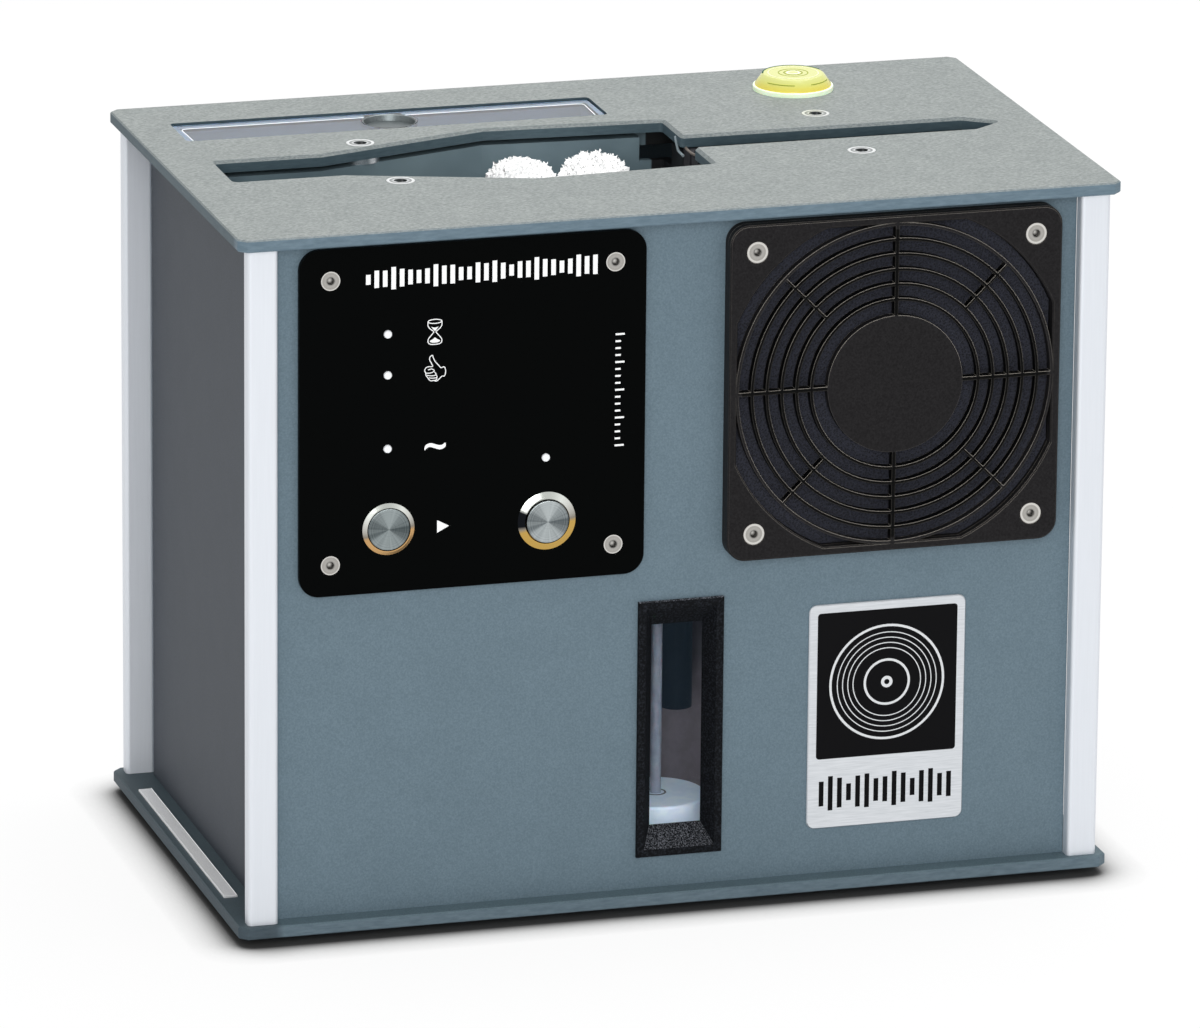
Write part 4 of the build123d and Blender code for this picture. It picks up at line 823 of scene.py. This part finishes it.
class WASHER_OT_controls(bpy.types.Operator):
    """Dress the control plate, its lights and its two buttons"""

    bl_idname = "washer.controls"
    bl_label = "Controls"

    def execute(self, context):
        dress(gloss_black(), "control_plate")
        dress(lamp_lens(), "indicator_lights")
        # The warm tone and the dark patch of each bezel are painted reflections.
        for name, dark, light, warm, patch in (
            ("start", "#485052", "#98a1a2", "#c9a06c", 0.0),
            ("power", "#565d60", "#b3babb", "#c4a055", 1.0),
        ):
            x, _, z = middle_of(f"{name}_cap")
            dress(faced_steel(f"faced_steel_{name}", x, z, dark, light), f"{name}_cap")
            dress(polished_nickel(f"polished_nickel_{name}", x, z, warm, patch), f"{name}_bezel")
        return {"FINISHED"}


# ================= Printed signs and label =================

# Outlines of the signs, as (x, z) in mm from their middles, whose places follow.
GLASS_SIDE = [(2.55, 3.85), (2.55, 2.4), (1.9, 1.35), (0.7, 0.35), (0.42, 0.0), (0.72, -0.5), (2.1, -2.1),
              (2.55, -3.0), (2.4, -3.95), (1.5, -4.5)]
GLASS_FOOT = (0, -4.6)
GLASS_RIM = arc(0, 3.85, 2.55, steps=32, height=0.75)
UPPER_SAND = [(-1.4, 1.9), (0, 1.55), (1.4, 1.9), (0.6, 0.95), (0.0, 0.3), (-0.6, 0.95)]
LOWER_SAND = [(0, -2.0), (0.8, -2.65), (1.85, -3.2), (1.8, -3.6), (0.9, -3.95), (-0.9, -3.95), (-1.8, -3.6),
              (-1.85, -3.2), (-0.8, -2.65)]
HAND = [(-1.0, 4.8), (-1.9, 4.2), (-2.0, 3.2), (-1.4, 2.0), (-0.9, 0.7), (-2.2, 0.7), (-3.3, 0.4), (-3.8, -0.6),
        (-3.4, -1.7), (-3.3, -2.5), (-2.7, -3.3), (-2.2, -4.1), (-1.4, -4.6), (-0.5, -4.5), (0.6, -4.8), (1.7, -3.9),
        (2.6, -3.1), (3.5, -3.1), (3.9, -1.6), (3.7, -0.2), (3.1, 0.3), (2.2, 0.0), (1.3, 1.0), (0.1, 2.4),
        (-0.6, 3.7)]
FINGERS = (
    [(-2.6, -0.5), (-1.3, -0.2), (-0.3, -0.8), (-0.8, -1.4), (-2.1, -1.7), (-3.3, -1.6)],
    [(-0.3, -1.3), (0.4, -2.2), (-0.2, -2.7), (-1.7, -2.7), (-3.0, -2.4)],
    [(0.4, -2.5), (0.8, -3.3), (0.1, -3.6), (-1.3, -3.6), (-2.3, -3.4)],
    [(0.7, -3.6), (0.5, -4.3), (-0.4, -4.5)])
WAVE = [(-3.9, -0.3), (-3.3, 0.8), (-1.7, 1.3), (-0.2, 0.9), (1.3, 0.4), (2.6, 0.4), (3.8, 1.1), (3.9, -0.2),
        (3.0, -1.0), (1.6, -1.25), (-0.1, -0.7), (-1.9, -0.1), (-3.0, -0.5), (-3.8, -1.2)]
ARROW = [(-0.7, -0.9), (1.0, 0.0), (-0.7, 0.9)]
GLASS_AT, HAND_AT, WAVE_AT, ARROW_AT = (-91.2, 223.7), (-91.1, 210.3), (-91.0, 181.4), (-88.3, 151.5)
ARROW_SIZE = 2.6
# The meter's row of bars and the scale's ticks, in mm: where they start, their step, size and number.
METER_LEFT, METER_HEIGHT, METER_STEP, METER_BAR, METER_BARS = -116.6, 244.5, 3.1, 1.7, 28
SCALE_LEFT, SCALE_FOOT, SCALE_STEP, SCALE_TICKS = -24.3, 176.8, 2.58, 17
SHORT_TICK, LONG_TICK, LONG_EVERY, TICK_WIDTH = 2.0, 3.4, 4, 0.7 * MM
# The label's record: the radius and width of each ring, in mm.
RECORD_RINGS = ((21.5, 0.9), (18.9, 0.35), (16.9, 0.35), (14.9, 0.35), (12.9, 0.35), (8.4, 0.9), (1.6, 1.2))


def put(points, middle, size=1.0):
    """A sign's points on the control plate, in metres."""
    return [((middle[0] + size * x) * MM, (middle[1] + size * z) * MM) for x, z in points]


def draw_line(points, width, closed=False):
    """A printed line through points on the XZ plane, to be flattened later."""
    return draw_strip("line", [(x, 0, z) for x, z in points], width / 2, closed, 2)


def draw_patch(points):
    """A printed area: a filled outline on the XZ plane, with a little body."""
    settings = {"dimensions": "2D", "fill_mode": "BOTH", "extrude": 0.5 * MM}
    return draw_curve("patch", [(x, z, 0) for x, z in points], True, settings, math.pi / 2)


def draw_bar(left, right, low, high):
    """A printed upright bar."""
    return draw_patch([(left, low), (right, low), (right, high), (left, high)])


def press_on(pieces, name, face_y, rise, material):
    """Join printed lines, flatten them and set them on the face of a plate."""
    piece = join_pieces(pieces, name)
    depth = max(abs(v.co.y) for v in piece.data.vertices)
    piece.scale = (1, rise / depth, 1)
    piece.location = (0, face_y, 0)
    return finish_piece(piece, material, "case", smooth=40)


class WASHER_OT_signs(bpy.types.Operator):
    """Print the signs on the control plate"""

    bl_idname = "washer.signs"
    bl_label = "Signs"

    def execute(self, context):
        look = context.scene.washer_print
        outline, fold = 0.8 * look.stroke, 0.75 * look.stroke
        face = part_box("control_plate")[0].y
        ink = screen_ink("white_screen_ink", look.ink)

        sides = [smooth_path([(s * x, z) for x, z in GLASS_SIDE] + [GLASS_FOOT], steps=6) for s in (1, -1)]
        glass = [draw_line(put(side, GLASS_AT), outline) for side in sides]
        glass.append(draw_line(put(GLASS_RIM, GLASS_AT), outline, True))
        glass += [draw_patch(put(sand, GLASS_AT)) for sand in (UPPER_SAND, LOWER_SAND)]
        hand = [draw_line(put(smooth_path(HAND, True), HAND_AT), outline, True)]
        hand += [draw_line(put(smooth_path(finger), HAND_AT), fold) for finger in FINGERS]
        wave = [draw_patch(put(smooth_path(WAVE, True), WAVE_AT))]
        arrow = [draw_patch(put(ARROW, ARROW_AT, ARROW_SIZE))]

        meter = []
        for index in range(METER_BARS):
            swell, ripple = abs(math.sin(0.55 * index)), abs(math.sin(1.3 * index + 0.6))
            left, reach = METER_LEFT + index * METER_STEP, 1.25 + 1.875 * swell + ripple
            meter.append(draw_bar(left * MM, (left + METER_BAR) * MM, (METER_HEIGHT - reach) * MM,
                                  (METER_HEIGHT + reach) * MM))
        scale = []
        for index in range(SCALE_TICKS):
            z = SCALE_FOOT + index * SCALE_STEP
            length = LONG_TICK if index % LONG_EVERY == 0 else SHORT_TICK
            scale.append(draw_line(in_metres([(SCALE_LEFT, z), (SCALE_LEFT + length, z)]), TICK_WIDTH))

        for name, pieces in (
            ("sign_hourglass", glass), ("sign_hand", hand), ("sign_wave", wave), ("sign_play", arrow),
            ("print_meter", meter), ("print_scale", scale),
        ):
            press_on(pieces, name, face, look.rise, ink)
        return {"FINISHED"}


class WASHER_OT_badge(bpy.types.Operator):
    """Print the plain label: a black field, a record and a silver band"""

    bl_idname = "washer.badge"
    bl_label = "Label"

    def execute(self, context):
        look = context.scene.washer_print
        dress(label_metal(), "badge_plate")
        low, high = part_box("badge_plate")
        black = screen_ink("black_label_ink", "#0a0a0c")
        bright = screen_ink("silver_label_ink", "#d8dadc")
        edge, thickness = 3.2 * MM, 0.1 * MM
        left, right, middle = low.x + edge, high.x - edge, middle_of("badge_plate")[0]
        top, split = high.z - edge, low.z + 26.5 * MM
        centre = (top + split) / 2

        start_clean()
        bpy.ops.mesh.primitive_cube_add(size=1, location=(middle, low.y, centre))
        field = take_new("label_field")
        field.scale = (right - left, thickness, top - split)
        bpy.ops.object.transform_apply(location=False, rotation=False, scale=True)
        bpy.ops.object.mode_set(mode="EDIT")
        pick(field, "edges", lambda e: abs(e.verts[0].co.y - e.verts[1].co.y) > thickness / 2)
        bpy.ops.mesh.bevel(offset=1.2 * MM, segments=4)
        bpy.ops.object.mode_set(mode="OBJECT")
        finish_piece(field, black, "case")

        rings = [draw_line(arc(middle, centre, radius * MM), width * MM, True) for radius, width in RECORD_RINGS]
        press_on(rings, "label_record", low.y - thickness / 2, look.rise, bright)

        bars, count, margin, half = [], 15, 2.2 * MM, 0.9 * MM
        band_z = (split + low.z) / 2
        for index in range(count):
            x = left + margin + index * (right - left - 2 * margin) / (count - 1)
            reach = (3.0 + 3.6 * abs(math.sin(0.9 * index + 0.5))) * MM
            bars.append(draw_bar(x - half, x + half, band_z - reach, band_z + reach))
        press_on(bars, "label_band", low.y, look.rise, black)
        return {"FINISHED"}


# ================= Rollers and wiper =================


def upright(edge):
    """Whether an edge stands upright."""
    a, b = (v.co for v in edge.verts)
    return abs(a.z - b.z) > 10 * (abs(a.x - b.x) + abs(a.y - b.y)) + 0.001 * MM


def middle_z(edge):
    """The height of an edge's middle."""
    return (edge.verts[0].co.z + edge.verts[1].co.z) / 2


def pile_texture(name, kind, size, **settings):
    """A texture for the pile, with marks of the given size in metres."""
    texture = bpy.data.textures.new(name, kind)
    texture.noise_scale = size
    for key, value in settings.items():
        setattr(texture, key, value)
    return texture


class WASHER_OT_rollers(bpy.types.Operator):
    """Grow a white pile on the four cleaning rollers"""

    bl_idname = "washer.rollers"
    bl_label = "Cleaning rollers"

    def execute(self, context):
        look = context.scene.washer_fleece
        white = microfibre()
        # Each layer's texture, its strength as a share of the pile, and the grey at which it moves nothing.
        layers = (
            (pile_texture("tufts", "CLOUDS", look.tuft, noise_depth=1), 1.0, 0.62),
            (pile_texture("tips", "VORONOI", 1.2 * MM, noise_intensity=1.3), -0.8, 0.3),
            (pile_texture("fibres", "CLOUDS", 0.5 * MM, noise_depth=1, contrast=2.4), 0.85, 0.6))
        sides, cuts_below, cuts_above, rings = 220, 30, 26, 34
        # The roller without its tufts as a share of the CAD sleeve, and of that the dome and the foot's rim.
        bare_share, crown_share, foot_share = 0.98, 0.96, 0.55
        for name in ROLLERS:
            low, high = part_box(f"roller_sleeve_{name}")
            x, y, _ = middle_of(f"roller_sleeve_{name}")
            radius = bare_share * (high.x - low.x) / 2
            end, shoulder = high.z - look.drop, high.z - look.shown
            start_clean()
            bpy.ops.mesh.primitive_cylinder_add(
                vertices=sides, radius=radius, depth=end - low.z, end_fill_type="NGON",
                location=(x, y, (low.z + end) / 2))
            sleeve = take_new(f"fleece_{name}")
            bpy.ops.object.transform_apply(location=True, rotation=True, scale=True)
            bpy.ops.object.mode_set(mode="EDIT")
            bpy.ops.mesh.select_all(action="SELECT")
            bpy.ops.mesh.bisect(plane_co=(0, 0, shoulder), plane_no=(0, 0, 1))
            pick(sleeve, "edges", lambda e: upright(e) and middle_z(e) < shoulder)
            bpy.ops.mesh.subdivide(number_cuts=cuts_below)
            pick(sleeve, "edges", lambda e: upright(e) and middle_z(e) > shoulder)
            bpy.ops.mesh.subdivide(number_cuts=cuts_above)
            pick(sleeve, "faces", lambda f: len(f.verts) > 4 and f.normal.z > 0.5)
            for step in range(rings):
                here, there = (look.crown * math.sqrt(1 - (1 - s / rings) ** 2) for s in (step, step + 1))
                bpy.ops.mesh.inset(thickness=crown_share * radius / rings, depth=there - here)
            pick(sleeve, "faces", lambda f: len(f.verts) > 4 and f.normal.z < -0.5)
            bpy.ops.mesh.inset(thickness=foot_share * radius)
            bpy.ops.object.mode_set(mode="OBJECT")
            for texture, strength, middle in layers:
                wave = sleeve.modifiers.new("pile", "DISPLACE")
                wave.texture = texture
                wave.texture_coords = "GLOBAL"
                wave.strength = strength * look.pile
                wave.mid_level = middle
            take_only(sleeve)
            for modifier in list(sleeve.modifiers):
                bpy.ops.object.modifier_apply(modifier=modifier.name)
            finish_piece(sleeve, white, f"roller_{name}", smooth=60)
            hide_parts(f"roller_sleeve_{name}")
        return {"FINISHED"}


class WASHER_OT_wiper(bpy.types.Operator):
    """Add the hooked trim and the lip at the wiper blades"""

    bl_idname = "washer.wiper"
    bl_label = "Wiper trim"

    def execute(self, context):
        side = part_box("wiper_blades")[0].x
        clear = nitrile_rubber("clear_grey_silicone", "#727f84", "#8c989d", 2)
        brown = nitrile_rubber("brown_grey_silicone", "#5b5550", "#77706a", 2)
        # Each strip's way as (y, z) in mm, its place from the blades' left side, and its radius.
        hook = [(14.0, 261.3), (12.6, 259.4), (10.4, 257.3), (8.4, 256.7), (3.6, 256.5)]
        lip = [(7.4, 258.6), (4.8, 258.2), (1.2, 258.2), (-3.4, 258.6), (-6.6, 259.1)]
        for name, way, place, radius, rubber in (
            ("wiper_hook", hook, -1.4 * MM, 0.5 * MM, clear), ("wiper_lip", lip, 0.6 * MM, 0.55 * MM, brown),
        ):
            points = [(side + place, y * MM, z * MM) for y, z in smooth_path(way)]
            finish_piece(draw_strip(name, points, radius), rubber, "case")
        return {"FINISHED"}


# ================= Spirit level =================


class WASHER_OT_level(bpy.types.Operator):
    """Build the round spirit level: skirt, vial, liquid, rings and bubble"""

    bl_idname = "washer.level"
    bl_label = "Spirit level"

    def execute(self, context):
        low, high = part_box("spirit_level")
        x, y, _ = middle_of("spirit_level")
        base, top = low.z, high.z
        outside = (high.x - low.x) / 2

        def turn(name, profile, material):
            """Turn one piece of the level, whose profile is (radius, height) in metres."""
            return finish_piece(turned_piece(name, profile, x, y), material, "case")

        # The skirt carries a painted pale green glow, light that no lamp gives.
        white = milky_plastic("white_polystyrene", "#e9f2dc", "#f3f8e8", 0.3, "#d8ffb0", 0.22)
        skirt = turn("level_skirt", [
            (0, base + 0.9 * MM), (outside - 1.4 * MM, base + 0.9 * MM), (outside - 1.2 * MM, base + 1.7 * MM),
            (outside - 0.3 * MM, base + 1.8 * MM), (outside, base + 1.5 * MM), (outside, base), (0, base)], white)
        turn("level_vial", [
            (0, top - 0.2 * MM), (11.1 * MM, top - 0.2 * MM), (11.7 * MM, top - 0.6 * MM),
            (14.2 * MM, base + 2.2 * MM), (14.3 * MM, base + 1.75 * MM), (0, base + 1.75 * MM)], level_liquid())

        olive = screen_ink("olive_level_ink", "#8f9a2c")
        pale = screen_ink("pale_level_ink", "#fafcdc")
        teal = screen_ink("teal_level_shade", "#2f5b49")
        # The radius and the width of each ring, in mm.
        for name, radius, width, ink in (
            ("level_ring_outer", 5.5, 0.35, olive), ("level_ring_inner", 3.4, 0.45, olive),
            ("level_bubble", 2.3, 0.9, pale), ("level_ring_edge", 9.4, 0.3, pale),
        ):
            ring = flat_ring(name, (x, y, top - 0.16 * MM), radius * MM, width * MM, thickness=0.3, segments=64)
            finish_piece(ring, ink, "case")

        # A painted dark reflection round the back of the vial's rim, and two short lines low on the front of its wall.
        rim = [(*point, top - 0.4 * MM) for point in arc(x, y, 11.3 * MM, 0.08, 0.84, 24)]
        finish_piece(draw_strip("level_rim_shade", rim, 0.34 * MM), teal, "case")
        arcs = []
        for start in (1.14, 1.58):
            line = [(*point, base + 4.2 * MM) for point in arc(x, y, 12.75 * MM, start, 0.28, 12)]
            arcs.append(draw_strip("arc", line, 0.16 * MM))
        finish_piece(join_pieces(arcs, "level_vial_line"), olive, "case")
        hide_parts("spirit_level")
        return {"FINISHED"}


# ================= Stage =================

# The camera's lens in mm, its distance from what it looks at, and its angles in degrees. Then the floor's
# side and the point that the lamps are aimed at.
LENS, REACH, LOOKS_AT = 306.69, 3.7645, (-2.491 * MM, 0, 123.28 * MM)
AZIMUTH, ELEVATION, ROLL = -16.515, 16.581, 0.515
FLOOR_SIDE, HEART = 14, (0, 0, 0.15)


def aim_camera(target, reach, azimuth, elevation, roll):
    """A world matrix for a camera that looks at the target from the given reach and angles."""
    back = Vector((math.sin(azimuth) * math.cos(elevation), -math.cos(azimuth) * math.cos(elevation),
                   math.sin(elevation)))
    right = (-back).cross(Vector((0, 0, 1))).normalized()
    up = right.cross(-back)
    turned_right = right * math.cos(roll) + up * math.sin(roll)
    turned_up = up * math.cos(roll) - right * math.sin(roll)
    turn = Matrix((turned_right, turned_up, back)).transposed()
    return Matrix.Translation(Vector(target) + reach * back) @ turn.to_4x4()


def soft_lamp(name, place, size, power):
    """A square lamp that points at the heart of the machine."""
    start_clean()
    bpy.ops.object.light_add(type="AREA", location=place)
    lamp = take_new(name)
    lamp.data.shape = "SQUARE"
    lamp.data.size = size
    lamp.data.energy = power
    lamp.rotation_euler = (Vector(HEART) - Vector(place)).to_track_quat("-Z", "Y").to_euler()


def seen_directly(add):
    """1 for what the camera sees, also in a mirror or through glass, and 0 for what lights the object."""
    ray = add("LightPath")
    seen, mirrored, through = (ray.outputs[f"Is {kind} Ray"] for kind in ("Camera", "Glossy", "Transmission"))
    either = add("Math", {"operation": "MAXIMUM"}, {0: seen, 1: mirrored})
    return add("Math", {"operation": "MAXIMUM"}, {0: either, 1: through})


class WASHER_OT_stage(bpy.types.Operator):
    """Set the floor, the lamps, the surroundings and the camera"""

    bl_idname = "washer.stage"
    bl_label = "Stage"

    def execute(self, context):
        look = context.scene.washer_stage
        start_clean()
        bpy.ops.mesh.primitive_plane_add(size=FLOOR_SIDE, location=(0, 0, 0))
        floor = take_new("floor")
        material, add, place = new_finish("painted_floor")
        paint = tuple(look.floor)
        mottle = grain(add, place, 600)
        stops = ((0.3, tuple(0.985 * c for c in paint)), (0.7, paint))
        painted = add("BsdfPrincipled", {"Roughness": 0.9, "Specular IOR Level": 0.0}, {
            "Base Color": add("ValToRGB", {"stops": stops}, {"Fac": mottle})})
        # The even white darkens where something stands near: a painted contact shadow, taken from ambient occlusion.
        near = add("AmbientOcclusion", {"Distance": look.shadow, "samples": 16}).outputs["AO"]
        clear = add("MapRange", {"From Min": 0.42, "From Max": 1.0}, {"Value": near})
        faded = add("Math", {"operation": "POWER", 1: 1.5}, {0: clear})
        white = add("Emission", {"Color": "#ffffff"}, {"Strength": faded})
        part = add("Math", {"operation": "MULTIPLY", 1: look.lift}, {0: seen_directly(add)})
        both = add("MixShader", links={0: part, 1: painted, 2: white})
        add("OutputMaterial", links={"Surface": both})
        floor.data.materials.append(material)

        soft_lamp("lamp_above", (0.4, 0.5, 2.6), size=2.2, power=look.key)
        soft_lamp("lamp_front", (-0.8, -3.0, 1.3), size=1.6, power=look.fill)

        world = bpy.data.worlds.new("studio")
        context.scene.world = world
        add = empty_nodes(world)
        dim = add("Background", {"Color": "#ffffff", "Strength": look.ambient})
        full = add("Background", {"Color": "#ffffff", "Strength": 1.0})
        both = add("MixShader", links={0: seen_directly(add), 1: dim, 2: full})
        add("OutputWorld", links={"Surface": both})

        start_clean()
        bpy.ops.object.camera_add()
        camera = take_new("camera")
        camera.data.sensor_fit = "HORIZONTAL"
        camera.data.sensor_width = 36.0
        camera.data.lens = LENS
        camera.data.clip_end = 60.0
        camera.matrix_world = aim_camera(
            LOOKS_AT, REACH, math.radians(AZIMUTH), math.radians(ELEVATION), math.radians(ROLL))
        context.scene.camera = camera
        context.scene.view_settings.view_transform = "Standard"
        return {"FINISHED"}


# ================= Panel and registration =================

STEPS = ("case", "inside", "window", "controls", "signs", "badge", "rollers", "wiper", "level", "stage")
GROUPS = {"washer_print": PrintLook, "washer_fleece": FleeceLook, "washer_stage": StageLook}


class WASHER_PT_build(bpy.types.Panel):
    """Lists the steps that dress the machine"""

    bl_idname = "WASHER_PT_build"
    bl_label = "Record Washer"
    bl_space_type = "VIEW_3D"
    bl_region_type = "UI"
    bl_category = "Record Washer"

    def draw(self, context):
        for step in STEPS:
            self.layout.operator(f"washer.{step}")
        for name, group in GROUPS.items():
            column = self.layout.column(align=True)
            for field in group.__annotations__:
                column.prop(getattr(context.scene, name), field)


CLASSES = (
    *GROUPS.values(), WASHER_OT_case, WASHER_OT_inside, WASHER_OT_window, WASHER_OT_controls, WASHER_OT_signs,
    WASHER_OT_badge, WASHER_OT_rollers, WASHER_OT_wiper, WASHER_OT_level, WASHER_OT_stage, WASHER_PT_build,
)


def register():
    """Register the classes and hang their settings on the scene."""
    for cls in CLASSES:
        bpy.utils.register_class(cls)
    for name, group in GROUPS.items():
        setattr(bpy.types.Scene, name, PointerProperty(type=group))


def unregister():
    """Undo register."""
    for name in GROUPS:
        delattr(bpy.types.Scene, name)
    for cls in reversed(CLASSES):
        bpy.utils.unregister_class(cls)


def main():
    """Register and run every step in order."""
    register()
    for step in STEPS:
        getattr(bpy.ops.washer, step)()


if __name__ == "__main__":
    main()
